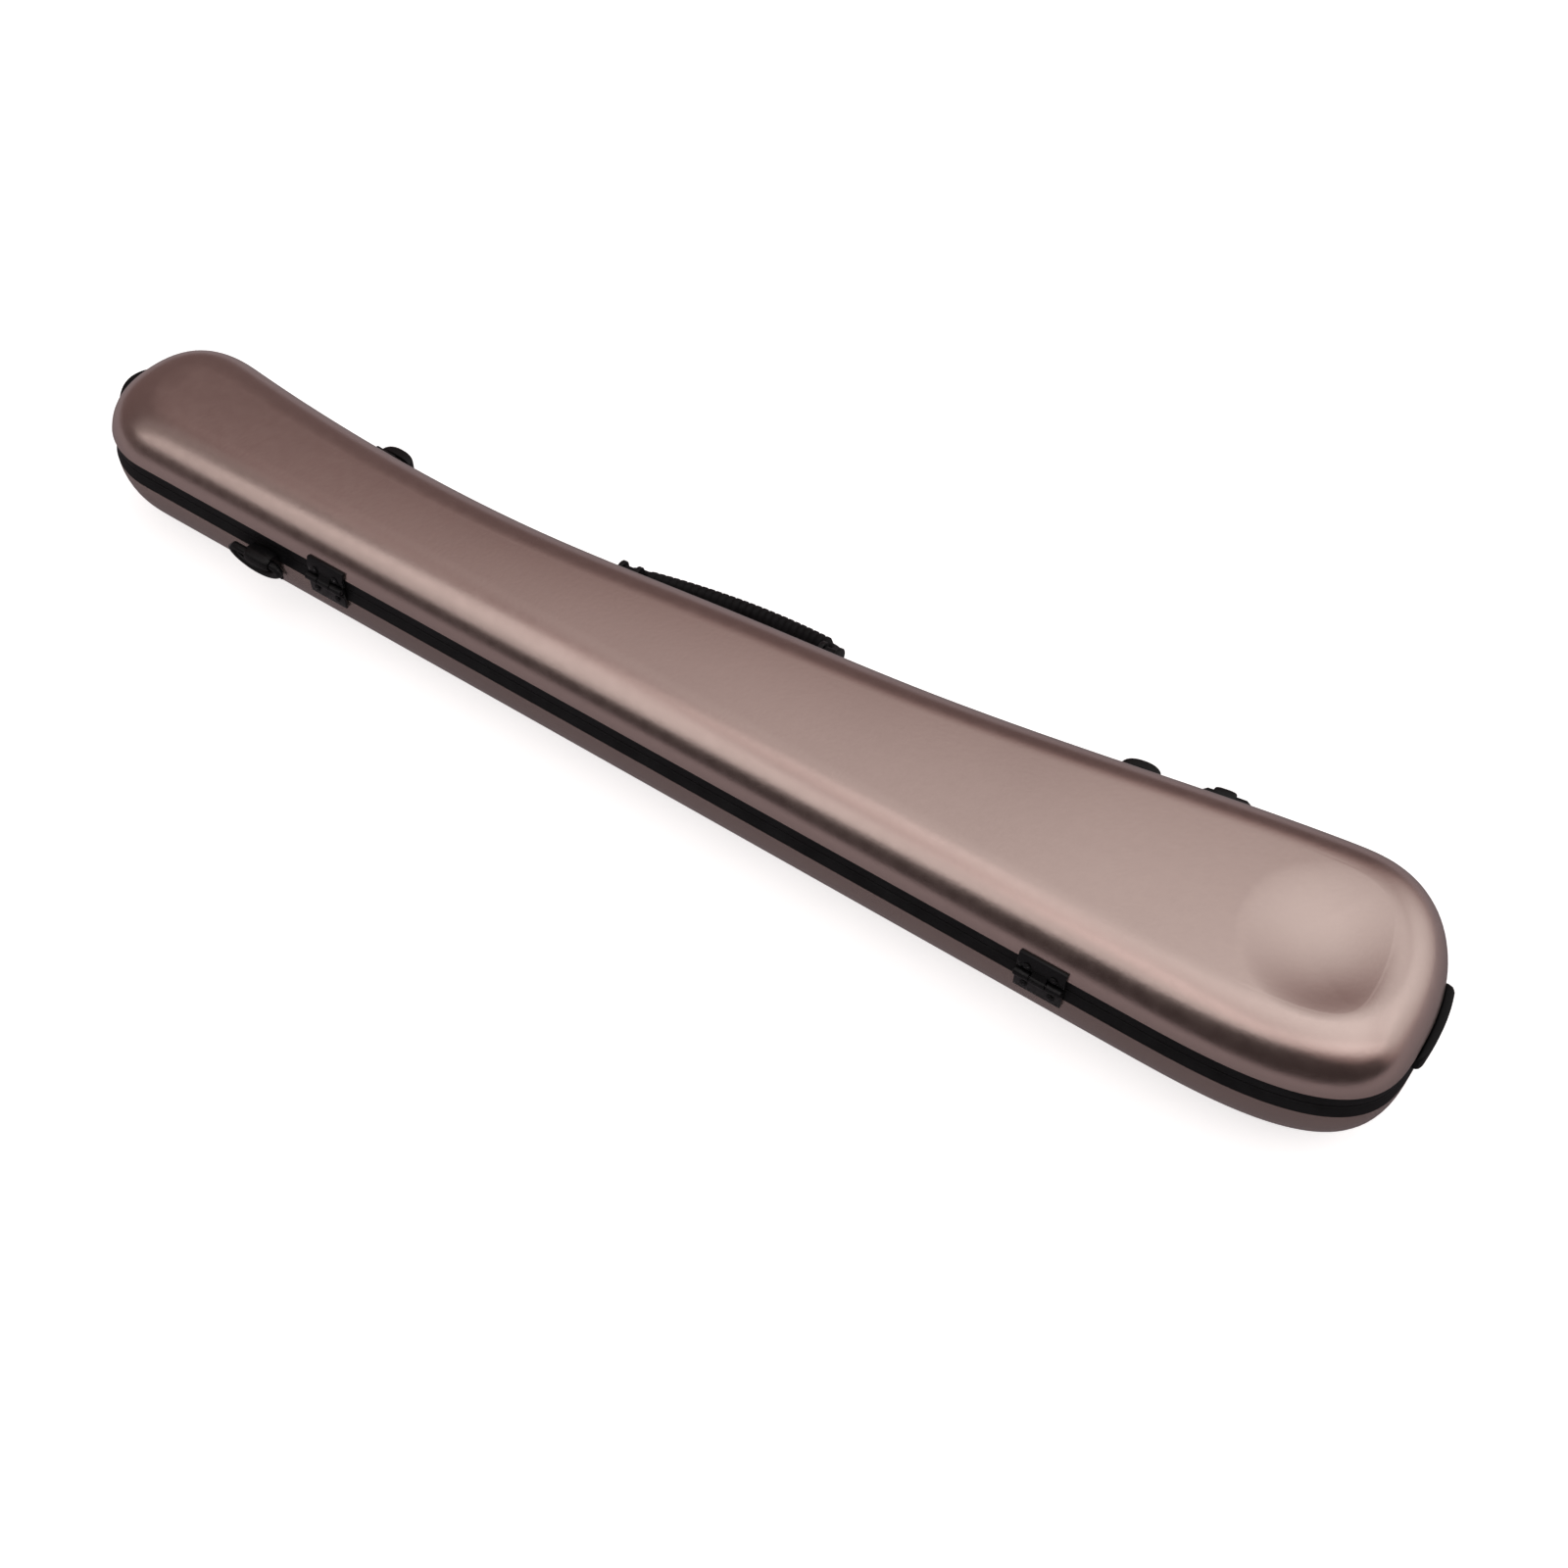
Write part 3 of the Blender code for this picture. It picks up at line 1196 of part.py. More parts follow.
def main():
    """Model the whole case."""
    clear_scene()
    lid_axis = pivot_empty("lid_axis", world(CASE_LENGTH / 2, -HINGE_AXIS_OUT, PARTING_HEIGHT))
    make_shells(lid_axis)
    make_linings(lid_axis)
    make_bands(lid_axis)
    make_beds()
    for number, along in enumerate(HINGE_ALONG, start=1):
        make_hinge(number, along, lid_axis)
    for number, along in enumerate(LATCH_ALONG, start=1):
        make_latch(number, along, lid_axis)
    make_handle()
    make_strap_ring(
        "hinge_side", TAB_ALONG_HINGE_SIDE, 0, 0, RING_DROOP_DEG_HINGE_SIDE, RING_SLIDE_HINGE_SIDE,
    )
    make_strap_ring(
        "latch_side", TAB_ALONG_LATCH_SIDE, wall_across(TAB_ALONG_LATCH_SIDE), TAB_RAISE_LATCH_SIDE,
        RING_DROOP_DEG_LATCH_SIDE, RING_SLIDE_LATCH_SIDE,
    )
    make_end_straps()


OUTLINE = trace_outline()
main()
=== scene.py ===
"""Looks of the moulded bow case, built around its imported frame.

Metres, +Z up, in the frame's own axes: X runs from the narrow end to the wide end and Y from the
hinge side to the latch side. Sizes along the case are given from its narrow end, sizes across it
from the hinge side and heights from the flat of its bottom.
"""

import json
from math import asin, cos, pi, radians, sin, sqrt, tan

import bmesh
import bpy
import numpy as np
from mathutils import Matrix, Vector

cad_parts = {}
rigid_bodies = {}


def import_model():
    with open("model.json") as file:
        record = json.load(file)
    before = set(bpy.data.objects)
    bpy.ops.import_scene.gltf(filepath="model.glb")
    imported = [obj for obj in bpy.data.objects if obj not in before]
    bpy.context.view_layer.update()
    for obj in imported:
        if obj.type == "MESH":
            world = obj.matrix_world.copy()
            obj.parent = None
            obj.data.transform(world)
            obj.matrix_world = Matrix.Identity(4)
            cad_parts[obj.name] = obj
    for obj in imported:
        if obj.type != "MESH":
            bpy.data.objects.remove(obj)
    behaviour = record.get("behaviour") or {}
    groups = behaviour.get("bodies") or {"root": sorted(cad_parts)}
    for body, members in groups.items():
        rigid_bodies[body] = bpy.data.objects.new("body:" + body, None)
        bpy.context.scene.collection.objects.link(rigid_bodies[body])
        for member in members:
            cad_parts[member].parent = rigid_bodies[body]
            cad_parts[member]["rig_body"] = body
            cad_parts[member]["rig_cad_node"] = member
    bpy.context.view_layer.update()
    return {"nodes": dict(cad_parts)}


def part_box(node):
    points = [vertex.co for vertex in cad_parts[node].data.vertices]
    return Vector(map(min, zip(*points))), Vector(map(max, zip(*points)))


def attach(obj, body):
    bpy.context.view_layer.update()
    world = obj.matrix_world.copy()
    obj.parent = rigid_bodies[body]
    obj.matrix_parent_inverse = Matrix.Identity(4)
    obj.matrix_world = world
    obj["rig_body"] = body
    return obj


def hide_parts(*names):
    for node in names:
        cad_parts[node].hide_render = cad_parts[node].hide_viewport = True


bl_info = {
    "name": "Bow case",
    "version": (1, 0, 0),
    "blender": (4, 5, 0),
    "location": "3D View > Sidebar > Bow case",
    "description": "Dresses the packed bow case with modelled shells, trim, hardware and plush",
    "category": "Object",
}

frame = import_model()

# Plan of the case, at its widest
CASE_LENGTH = 0.830
CASE_WIDTH = 0.1521
HINGE_NARROW_CORNER_LENGTH = 0.0528
HINGE_WIDE_CORNER_LENGTH = 0.1272
LATCH_NARROW_CORNER_LENGTH = 0.0573
LATCH_WIDE_CORNER_LENGTH = 0.0724
WIDE_TIP_SHARE = 0.4004
NARROW_TIP_SHARE = 0.4838
LATCH_SIDE_WIDTH_SHARES = (0.655, 0.5895, 0.596, 0.674, 0.7503, 0.8735, 1.0)
NARROW_SLOPE_SHARE = -0.1278
WIDE_SLOPE_SHARE = 0.1242
HINGE_WIDE_CORNER_POWER = 3.0
LATCH_WIDE_CORNER_POWER = 2.255
LATCH_NARROW_CORNER_POWER = 2.3165
HINGE_NARROW_CORNER_POWER = 2.093
REST_LINE_ACROSS = 0.050
HINGE_SIDE_END = CASE_LENGTH - HINGE_WIDE_CORNER_LENGTH
LATCH_SIDE_END = CASE_LENGTH - LATCH_WIDE_CORNER_LENGTH
CLEAR_SHARE = 0.985

# Sections of the shells and their trim
HULL_RADIUS = 0.048
HULL_FOOT_RADIUS = 0.012
HULL_ROUND_DEG = 62.0
HULL_STRAIGHT = 0.0024
SHELL_WALL = 0.003
GAP = 0.0003
BASE_LINING_WALL = 0.005
LID_LINING_WALL = 0.0065
BAND_HEIGHT = 0.0153
PARTING_RISE = 0.0073
BAND_FOOT_INSET = -0.0002
BAND_WAIST_INSET = 0.0016
BAND_LIP_INSET = 0.0024
BAND_TAPER_RISE = 0.0055
BAND_ROUND = 0.0006
SEAL_WIDTH = 0.0033
SEAL_HEIGHT = 0.0030
SEAL_WALL = 0.0024
SEAL_SEAT_DEPTH = 0.0024
SEAL_ROUND = 0.0011
LID_RISE = 0.0246
LID_RADIUS = 0.0318
DISH_ALONG = CASE_LENGTH - 0.0619
DISH_ACROSS = CASE_WIDTH * 0.5035
DISH_HALF_LENGTH = 0.0420
DISH_HALF_WIDTH = 0.0462
DISH_DIP_DEG = 34.5
DISH_DIP_SHARE = 0.75
DISH_EASE_POWER = 1.6
DISH_FINE_REACH = 1.15
DISH_FINE_CUTS = 3
CUSHION_INSET = 0.0305
CUSHION_EDGE = 0.0030
CUSHION_SLOPE = 0.0022
CUSHION_CROWN = 0.0050
CHANNEL_PITCH = 0.092
CHANNEL_WIDTH = 0.0042
CHANNEL_DEPTH = 0.0028
PAD_VOXEL = 0.0034
PAD_SOFT_ROUNDS = 3
PAD_PRESSURE = 4.0
PAD_FRAMES = 20
CLOTH_QUALITY = 5
PLUSH_SMOOTH_DEG = 80.0
LINING_ROUND = 0.0018
LINING_DISH_SPARE = 0.0042

# Beds and turn-buttons
BED_TOP = 0.040
BED_SOFT_ROUNDS = 5
POST_BURIAL = 0.012
POST_RADIUS = 0.0013
POST_HEAD_RADIUS = 0.0026
POST_HEAD_HEIGHT = 0.0012
BUTTON_LIFT = 0.0010
BUTTON_THICKNESS = 0.0030
BUTTON_WIDTH = 0.0075
BUTTON_LENGTH = 0.0210

# Hinges on the straight side
HINGE_ALONG = (0.1985, CASE_LENGTH - 0.1690)
HINGE_WIDTH = 0.0265
HINGE_AXIS_OUT = 0.0026
BARREL_RADIUS = 0.0024
LEAF_THICKNESS = 0.0018
UPPER_LEAF_TOP = 0.0660
LOWER_LEAF_FOOT = 0.0405
MIDDLE_KNUCKLE = 0.0088
KNUCKLE_GAP = 0.0003
PIN_RADIUS = 0.0010
PIN_CLEARANCE = 0.00012
PIN_INSET = 0.0002
RIVET_RADIUS = 0.0012
RIVET_HEAD_RADIUS = 0.0022
RIVET_HEAD_HEIGHT = 0.0009
HINGE_RIVET_APART = 0.0150
UPPER_RIVET_HEIGHT = 0.0595
LOWER_RIVET_HEIGHT = 0.0455

# Latches on the waisted side
LATCH_ALONG = (0.166, CASE_LENGTH - 0.189)
LATCH_WIDTH = 0.022
LATCH_PIVOT_OUT = 0.0062
LATCH_PIVOT_HEIGHT = 0.0370
LATCH_KNUCKLE_RADIUS = 0.0027
LATCH_EAR_THICKNESS = 0.0020
LATCH_EAR_RADIUS = 0.0034
LATCH_PLATE_THICKNESS = 0.0016
LATCH_PLATE_TOP = 0.0520
LATCH_PLATE_FOOT = 0.0325
LATCH_LEVER_OUT = 0.0118
LATCH_LEVER_TOP = 0.0595
LATCH_LEVER_WALL = 0.0024
LATCH_LEVER_ROUND = 0.0030
KEEPER_NOSE_OUT = 0.0046
KEEPER_NOSE_FOOT = 0.0548
KEEPER_NOSE_THICKNESS = 0.0020
KEEPER_PLATE_THICKNESS = 0.0014
KEEPER_TOP = 0.0672
KEEPER_WIDTH = 0.0140
LATCH_RIVET_HEIGHT = 0.0470
LATCH_RIVET_APART = 0.0140

# Carrying handle on the waisted side
HANDLE_ALONG = CASE_LENGTH / 2 - 0.0185
HANDLE_PIVOT_OUT = 0.0095
HANDLE_PIVOT_HEIGHT = 0.0490
HANDLE_HALF_SPAN = 0.0640
HANDLE_REACH = 0.0210
HANDLE_BOW = 0.0069
HANDLE_BOW_SHIFT = 0.014
HANDLE_EYE_LENGTH = 0.0070
HANDLE_EYE_RADIUS = 0.0045
HANDLE_EYE_CLEARANCE = 0.0008
HANDLE_ARM_THICKNESS = 0.0066
HANDLE_GRIP_THICKNESS = 0.0105
HANDLE_GRIP_HEIGHT = 0.0124
HANDLE_GRIP_TAPER = 0.0029
HANDLE_GRIP_LENGTH = 0.113
HANDLE_RIB_COUNT = 27
HANDLE_GROOVE_WIDTH = 0.0013
HANDLE_GROOVE_SIDE = ((0.5, 1.0), (0.9, 0.55), (1.25, 0.16))
HANDLE_DROOP_DEG = 38.0
HANDLE_PIN_RADIUS = 0.0016
GRIP_SQUARE_SHARE = 0.75
BRACKET_EAR_THICKNESS = 0.0027
BRACKET_EAR_RADIUS = 0.0066
BRACKET_PLATE_THICKNESS = 0.0024
BRACKET_PLATE_TOP = 0.0590
BRACKET_PLATE_FOOT = 0.0370

# Strap rings, one on each side
RING_BAR_RADIUS = 0.0025
RING_HALF_SPAN = 0.0180
RING_BOW_POWER = 1.3
RING_REACH = 0.0098
RING_DROOP_DEG = 90.0
RING_SLIDE_HINGE_SIDE = 0.0033
RING_HALF_SPAN_LATCH_SIDE = 0.0124
RING_SLIDE_LATCH_SIDE = 0.0012
TAB_ALONG_HINGE_SIDE = 0.1513
TAB_ALONG_LATCH_SIDE = CASE_LENGTH - 0.148
TAB_WIDTH = 0.0180
TAB_WIDTH_LATCH_SIDE = 0.0120
TAB_SLIDE_LATCH_SIDE = 0.0030
TAB_BARREL_OUT = 0.0068
TAB_BARREL_HEIGHT = 0.0494
TAB_RAISE_LATCH_SIDE = 0.0066
TAB_BARREL_WALL = 0.0018
TAB_RING_CLEARANCE = 0.0004
TAB_PLATE_THICKNESS = 0.0016
TAB_PLATE_TOP = 0.0530
TAB_PLATE_FOOT = 0.0330
TAB_RIVET_HEIGHT = 0.0362

# Grips on the ends: place across, length, rise, height, thickness, middle height
WIDE_END_GRIP = (0.084, 0.048, 0.0004, 0.0110, 0.0036, 0.0525)
NARROW_END_LOOP = (0.060, 0.050, 0.0120, 0.0110, 0.0030, 0.0517)
END_FOOT_SHARE = 0.07
END_SINK = 0.0013
END_LEAN = -0.55

# Heights that follow from the sections
HULL_RADIUS_STEP = HULL_RADIUS - HULL_FOOT_RADIUS
HULL_SPRING_HEIGHT = HULL_FOOT_RADIUS + HULL_RADIUS_STEP * sin(radians(HULL_ROUND_DEG))
HULL_TOP = HULL_SPRING_HEIGHT + HULL_STRAIGHT
PARTING_HEIGHT = HULL_TOP + PARTING_RISE
LID_RIM = HULL_TOP + BAND_HEIGHT
LID_TOP = LID_RIM + LID_RISE
LID_SPRING_HEIGHT = LID_TOP - LID_RADIUS
BASE_LINING_OUTSIDE = SHELL_WALL + GAP
BASE_LINING_INSIDE = BASE_LINING_OUTSIDE + BASE_LINING_WALL
LID_LINING_OUTSIDE = SHELL_WALL + GAP
LID_LINING_INSIDE = LID_LINING_OUTSIDE + LID_LINING_WALL
CEILING = LID_TOP - LID_LINING_INSIDE - GAP

# Counts of facets, and settings of the modelling steps
HALF_COUNT = 240
COARSE_CORNER_STEPS = 9
COARSE_SIDE_STEPS = 15
FINE_STEPS = 60
FINEST_SHARE = 40
LID_END_SPAN = 28
LID_STEPS = 24
HULL_STEPS = 22
HULL_LINING_STEPS = 12
LID_LINING_STEPS = 10
LID_CROWN_STEP = 23
ROUND_SIDES = 32
SMALL_SIDES = 20
SECTION_SIDES = 24
RING_SIDES = 16
LINING_RIM_STEPS = 6
BUTTON_END_STEPS = 12
LEVER_STEPS = 24
LEVER_TURN_STEPS = 6
ARM_STEPS = 8
BARREL_STEPS = 20
RING_BAR_STEPS = 7
RING_BOW_STEPS = 32
STRAP_STEPS = 40
BEVEL_SEGMENTS = 3
BEVEL_DEG = 30.0
MERGE_DISTANCE = 1e-6
SMOOTH_DEG = 35.0
CORNER_EASE = 80
TANGENT_SHARE = 0.998

# Camera of the photograph
CAMERA_PLACE = (0.44745, -0.56319, 0.89780)
CAMERA_AZIMUTH_DEG = 34.48411
CAMERA_ELEVATION_DEG = 52.16785
CAMERA_ROLL_DEG = 0.19451
CAMERA_LENS_MM = 47.25
CAMERA_SENSOR_MM = 36.0

# Studio: soft boxes over the photographer, turned in line with the picture (start and end to the
# right, start and end toward the camera, glow), and the room's directions (azimuth, elevation, and
# the cosines to that direction between which the room changes)
BOX_TURN_DEG = 34.5
BOX_HEIGHT = 1.2
BOX_COLOUR = (1.0, 0.965, 0.955)
SOFT_BOXES = {
    "left_top_box": (-3.2, -0.75, -0.60, -0.14, 0.17),
    "far_left_box": (-3.2, -1.7, -0.14, 1.30, 0.70),
    "left_box": (-1.7, -0.75, -0.10, 1.20, 0.93),
    "middle_box": (-0.75, -0.05, 0.40, 1.15, 0.84),
    "middle_top_box": (-0.75, -0.05, -0.15, 0.40, 0.46),
    "right_box": (-0.05, 2.4, 0.62, 1.12, 0.60),
    "right_top_box": (-0.05, 2.4, -0.10, 0.62, 0.20),
}
ROOM_SKY = (35.0, 70.0, 0.53, 1.0)
ROOM_SIDE = (40.0, 30.0, 0.70, 1.0)
ROOM_FAR = (-62.0, 8.0, 0.0, 6.5)
ROOM_HORIZON = (0.0, 90.0, -0.08, 0.02)
ROOM_DEPTHS = (0.0, 90.0, -0.75, -0.15)
ROOM_DUSK_STOP = 0.29
GROUND_SHARES = (0.72, 1.6)
FLOOR_SIZE = 40.0
BACKDROP = (1.0, 1.0, 1.0)


# Outline and places

def corner_points(start, end, corner, power, steps):
    """Places along a rounded corner, without its last one."""
    start, end, corner = (np.array(point, float) for point in (start, end, corner))
    centre = start + end - corner
    angles = pi / 2 * np.arange(steps) / steps
    back = np.cos(angles) ** (2 / power)
    ahead = np.sin(angles) ** (2 / power)
    return centre + np.outer(back, start - centre) + np.outer(ahead, end - centre)


def waisted_points(steps):
    """Places along the waisted side, from the wide end back to the narrow end."""
    stations = np.linspace(LATCH_NARROW_CORNER_LENGTH, LATCH_SIDE_END, len(LATCH_SIDE_WIDTH_SHARES))
    widths = CASE_WIDTH * np.array(LATCH_SIDE_WIDTH_SHARES)
    step = stations[1] - stations[0]
    count = len(stations)
    system = np.eye(count)
    wanted = np.zeros(count)
    wanted[0] = NARROW_SLOPE_SHARE
    wanted[-1] = WIDE_SLOPE_SHARE
    for row in range(1, count - 1):
        system[row, row - 1:row + 2] = (1, 4, 1)
        wanted[row] = 3 * (widths[row + 1] - widths[row - 1]) / step
    slopes = np.linalg.solve(system, wanted)
    reach = (count - 1) * (1 - np.arange(steps) / steps)
    left = np.minimum(reach.astype(int), count - 2)
    share = reach - left
    rise = widths[left + 1] - widths[left]
    first = slopes[left] * step - rise
    last = rise - slopes[left + 1] * step
    bend = share * (1 - share) * ((1 - share) * first + share * last)
    across = widths[left] + share * rise + bend
    return np.column_stack((stations[left] + share * step, across))


def outline_halves(corner_steps, side_steps):
    """Outline from the narrow tip to the wide tip on the hinge side, and back on the other."""
    narrow_across = CASE_WIDTH * LATCH_SIDE_WIDTH_SHARES[0]
    wide_corner = (CASE_LENGTH, CASE_WIDTH + WIDE_SLOPE_SHARE * LATCH_WIDE_CORNER_LENGTH)
    narrow_corner = (0, narrow_across - NARROW_SLOPE_SHARE * LATCH_NARROW_CORNER_LENGTH)
    hinge_start = (HINGE_NARROW_CORNER_LENGTH, 0)
    hinge_end = (HINGE_SIDE_END, 0)
    wide_tip = (CASE_LENGTH, CASE_WIDTH * WIDE_TIP_SHARE)
    narrow_tip = (0, narrow_across * NARROW_TIP_SHARE)
    latch_start = (LATCH_NARROW_CORNER_LENGTH, narrow_across)
    latch_end = (LATCH_SIDE_END, CASE_WIDTH)
    hinge_half = np.vstack((
        corner_points(narrow_tip, hinge_start, (0, 0), HINGE_NARROW_CORNER_POWER, corner_steps),
        [hinge_start],
        corner_points(hinge_end, wide_tip, (CASE_LENGTH, 0), HINGE_WIDE_CORNER_POWER, corner_steps),
        [wide_tip],
    ))
    latch_half = np.vstack((
        corner_points(wide_tip, latch_end, wide_corner, LATCH_WIDE_CORNER_POWER, corner_steps),
        waisted_points(side_steps),
        corner_points(latch_start, narrow_tip, narrow_corner, LATCH_NARROW_CORNER_POWER,
                      corner_steps),
        [narrow_tip],
    ))
    return hinge_half, latch_half


def evenly(points, count):
    """As many places spaced evenly along a line of points, without its last one."""
    runs = np.linalg.norm(np.diff(points, axis=0), axis=1)
    lengths = np.concatenate(([0], np.cumsum(runs)))
    wanted = np.linspace(0, lengths[-1], count, endpoint=False)
    return np.column_stack([np.interp(wanted, lengths, points[:, axis]) for axis in (0, 1)])


def outward_of(points):
    """Directions that point out of a closed line of places."""
    ahead = np.roll(points, -1, axis=0) - np.roll(points, 1, axis=0)
    ahead /= np.linalg.norm(ahead, axis=1)[:, None]
    return np.column_stack((ahead[:, 1], -ahead[:, 0]))


def smoothed(values, passes):
    """Values averaged with their neighbours round a closed line."""
    for _ in range(passes):
        values = (np.roll(values, 1, axis=0) + 2 * values + np.roll(values, -1, axis=0)) / 4
    return values


FINE_HALVES = outline_halves(FINE_STEPS, FINE_STEPS * 3)
OUTLINE = np.vstack([evenly(half, HALF_COUNT) for half in FINE_HALVES])
OUTWARD = outward_of(OUTLINE)
COARSE = np.vstack([half[:-1] for half in outline_halves(COARSE_CORNER_STEPS, COARSE_SIDE_STEPS)])
FINEST_HALVES = outline_halves(COARSE_CORNER_STEPS * FINEST_SHARE, COARSE_SIDE_STEPS * FINEST_SHARE)
FINEST = np.vstack([half[:-1] for half in FINEST_HALVES])
COARSE_OUTWARD = outward_of(FINEST)[[
    int(np.argmin(np.linalg.norm(FINEST - spot, axis=1))) for spot in COARSE
]]


def wall_distances(spots):
    """Distances of places from the nearest wall of the outline."""
    start = OUTLINE[None, :, :]
    run = np.roll(OUTLINE, -1, axis=0)[None, :, :] - start
    reach = spots[:, None, :] - start
    share = np.clip((reach * run).sum(2) / (run * run).sum(2), 0, 1)
    return np.linalg.norm(reach - run * share[:, :, None], axis=2).min(1)


def moved_outline(inset):
    """Outline moved in by an inset; places that would cross are spread between their neighbours."""
    moved = OUTLINE - OUTWARD * inset
    if inset <= 0:
        return moved
    clear = wall_distances(moved) > inset * CLEAR_SHARE
    count = len(moved)
    kept = np.flatnonzero(clear)
    index = np.arange(count)
    spread = np.column_stack([
        np.interp(index, kept, moved[kept, axis], period=count) for axis in (0, 1)
    ])
    return smoothed(spread, int(CORNER_EASE * (inset / LID_RADIUS) ** 2))


def ring_at(inset, height):
    """Places round the case at an inset and a height, in the frame's axes."""
    moved = moved_outline(inset)
    ring = np.empty((len(moved), 3))
    ring[:, 0] = moved[:, 0] - CASE_LENGTH / 2
    ring[:, 1] = moved[:, 1] - REST_LINE_ACROSS
    ring[:, 2] = height
    return ring


def world(along, across, height):
    """Point of the frame for a place from the narrow end, the hinge side and the bottom."""
    return Vector((along - CASE_LENGTH / 2, across - REST_LINE_ACROSS, height))


def wall_across(along):
    """Width of the outline at a place along the waisted side."""
    points = waisted_points(COARSE_SIDE_STEPS)[::-1]
    return float(np.interp(along, points[:, 0], points[:, 1]))


def wall_frame(along, across):
    """Frame on the wall nearest to a place: X along the wall, Y outward, Z up, at the bottom."""
    after = np.roll(COARSE, -1, axis=0)
    run = after - COARSE
    goal = np.array((along, across))
    share = np.clip(((goal - COARSE) * run).sum(1) / (run * run).sum(1), 0, 1)
    spots = COARSE + run * share[:, None]
    best = int(np.argmin(np.linalg.norm(goal - spots, axis=1)))
    start, end = COARSE_OUTWARD[best], COARSE_OUTWARD[(best + 1) % len(COARSE)]
    x, y = start * (1 - share[best]) + end * share[best]
    outward = Vector((x, y, 0)).normalized()
    upward = Vector((0, 0, 1))
    place = Matrix((outward.cross(upward), outward, upward)).transposed().to_4x4()
    place.translation = world(spots[best][0], spots[best][1], 0)
    return place


def wall_rise(place, beside):
    """How far the wall stands out of a wall frame at a distance along it."""
    inverse = place.inverted()
    local = [inverse @ world(x, y, 0) for x, y in OUTLINE]
    near = sorted(
        (abs(point.x - beside), point.x, point.y) for point in local if abs(point.y) < HULL_RADIUS
    )
    (_, x_one, y_one), (_, x_two, y_two) = near[0], near[1]
    if abs(x_two - x_one) < GAP:
        return y_one
    return y_one + (beside - x_one) * (y_two - y_one) / (x_two - x_one)


def lid_profile(depth, steps):
    """Profile of the lid, moved in by a depth, from its rim to its flat."""
    radius = LID_RADIUS - depth
    start = asin((LID_RIM - LID_SPRING_HEIGHT) / radius)
    angles = np.linspace(start, pi / 2, steps + 1)
    return [(LID_RADIUS - radius * cos(a), LID_SPRING_HEIGHT + radius * sin(a)) for a in angles]


def hull_profile(depth, steps):
    """Profile of the hull, moved in by a depth, from its top edge to its flat."""
    turn = radians(HULL_ROUND_DEG)
    radius = HULL_RADIUS - depth
    foot = HULL_FOOT_RADIUS - depth
    foot_inset = HULL_RADIUS - HULL_RADIUS_STEP * cos(turn)
    profile = [(depth, HULL_TOP)]
    for angle in np.linspace(0, turn, steps, endpoint=False):
        inset = HULL_RADIUS - radius * cos(angle)
        profile.append((inset, HULL_SPRING_HEIGHT - radius * sin(angle)))
    for angle in np.linspace(turn, pi / 2, steps // 2):
        profile.append((foot_inset - foot * cos(angle), HULL_FOOT_RADIUS - foot * sin(angle)))
    return profile


def lid_inset(height):
    """Inset of the lid's outer face at a height."""
    return LID_RADIUS - sqrt(LID_RADIUS ** 2 - (height - LID_SPRING_HEIGHT) ** 2)


def rounded(profile, radius):
    """Closed profile with each of its corners turned into a short curve."""
    corners = [np.array(point, float) for point in profile]
    result = []
    for index, corner in enumerate(corners):
        before = corners[index - 1] - corner
        after = corners[(index + 1) % len(corners)] - corner
        back = min(radius, np.linalg.norm(before) / 3)
        ahead = min(radius, np.linalg.norm(after) / 3)
        start = corner + before / np.linalg.norm(before) * back
        end = corner + after / np.linalg.norm(after) * ahead
        for share in (0, 0.5, 1):
            bend = start * (1 - share) ** 2 + corner * 2 * share * (1 - share) + end * share ** 2
            result.append(tuple(bend))
    return result


# Modelling steps

def deselect():
    """Leave every object unselected, in object mode."""
    if bpy.context.object and bpy.context.object.mode != "OBJECT":
        bpy.ops.object.mode_set(mode="OBJECT")
    bpy.ops.object.select_all(action="DESELECT")


def only(item):
    """Select one object alone and make it active."""
    deselect()
    item.select_set(True)
    bpy.context.view_layer.objects.active = item
    return item


def apply_step(item, kind, **settings):
    """Add a modifier with its settings and apply it."""
    only(item)
    step = item.modifiers.new(kind.lower(), kind)
    for name, value in settings.items():
        setattr(step, name, value)
    bpy.ops.object.modifier_apply(modifier=step.name)
    return item


def tidy_normals(item):
    """Merge doubled corners and turn every face outward."""
    only(item)
    bpy.ops.object.mode_set(mode="EDIT")
    bpy.ops.mesh.select_all(action="SELECT")
    bpy.ops.mesh.remove_doubles(threshold=MERGE_DISTANCE)
    bpy.ops.mesh.normals_make_consistent(inside=False)
    bpy.ops.object.mode_set(mode="OBJECT")
    return item


def smooth(item, angle=SMOOTH_DEG):
    """Shade a piece smooth, with edges sharper than an angle left crisp."""
    only(item)
    bpy.ops.object.shade_smooth_by_angle(angle=radians(angle))
    return item


def start_loop(count):
    """Circle of edges in edit mode, each corner numbered round it."""
    deselect()
    bpy.ops.mesh.primitive_circle_add(vertices=count, fill_type="NOTHING")
    item = bpy.context.object
    bpy.ops.object.mode_set(mode="EDIT")
    mesh = bmesh.from_edit_mesh(item.data)
    station = mesh.verts.layers.int.new("station")
    mesh.verts.ensure_lookup_table()
    for index, corner in enumerate(mesh.verts):
        corner[station] = index
    bpy.ops.mesh.select_all(action="SELECT")
    return item


def lay_selected(item, ring):
    """Put the selected corners on the places of a ring, by their numbers."""
    mesh = bmesh.from_edit_mesh(item.data)
    station = mesh.verts.layers.int["station"]
    for corner in mesh.verts:
        if corner.select:
            corner.co = ring[corner[station]]
    bmesh.update_edit_mesh(item.data)


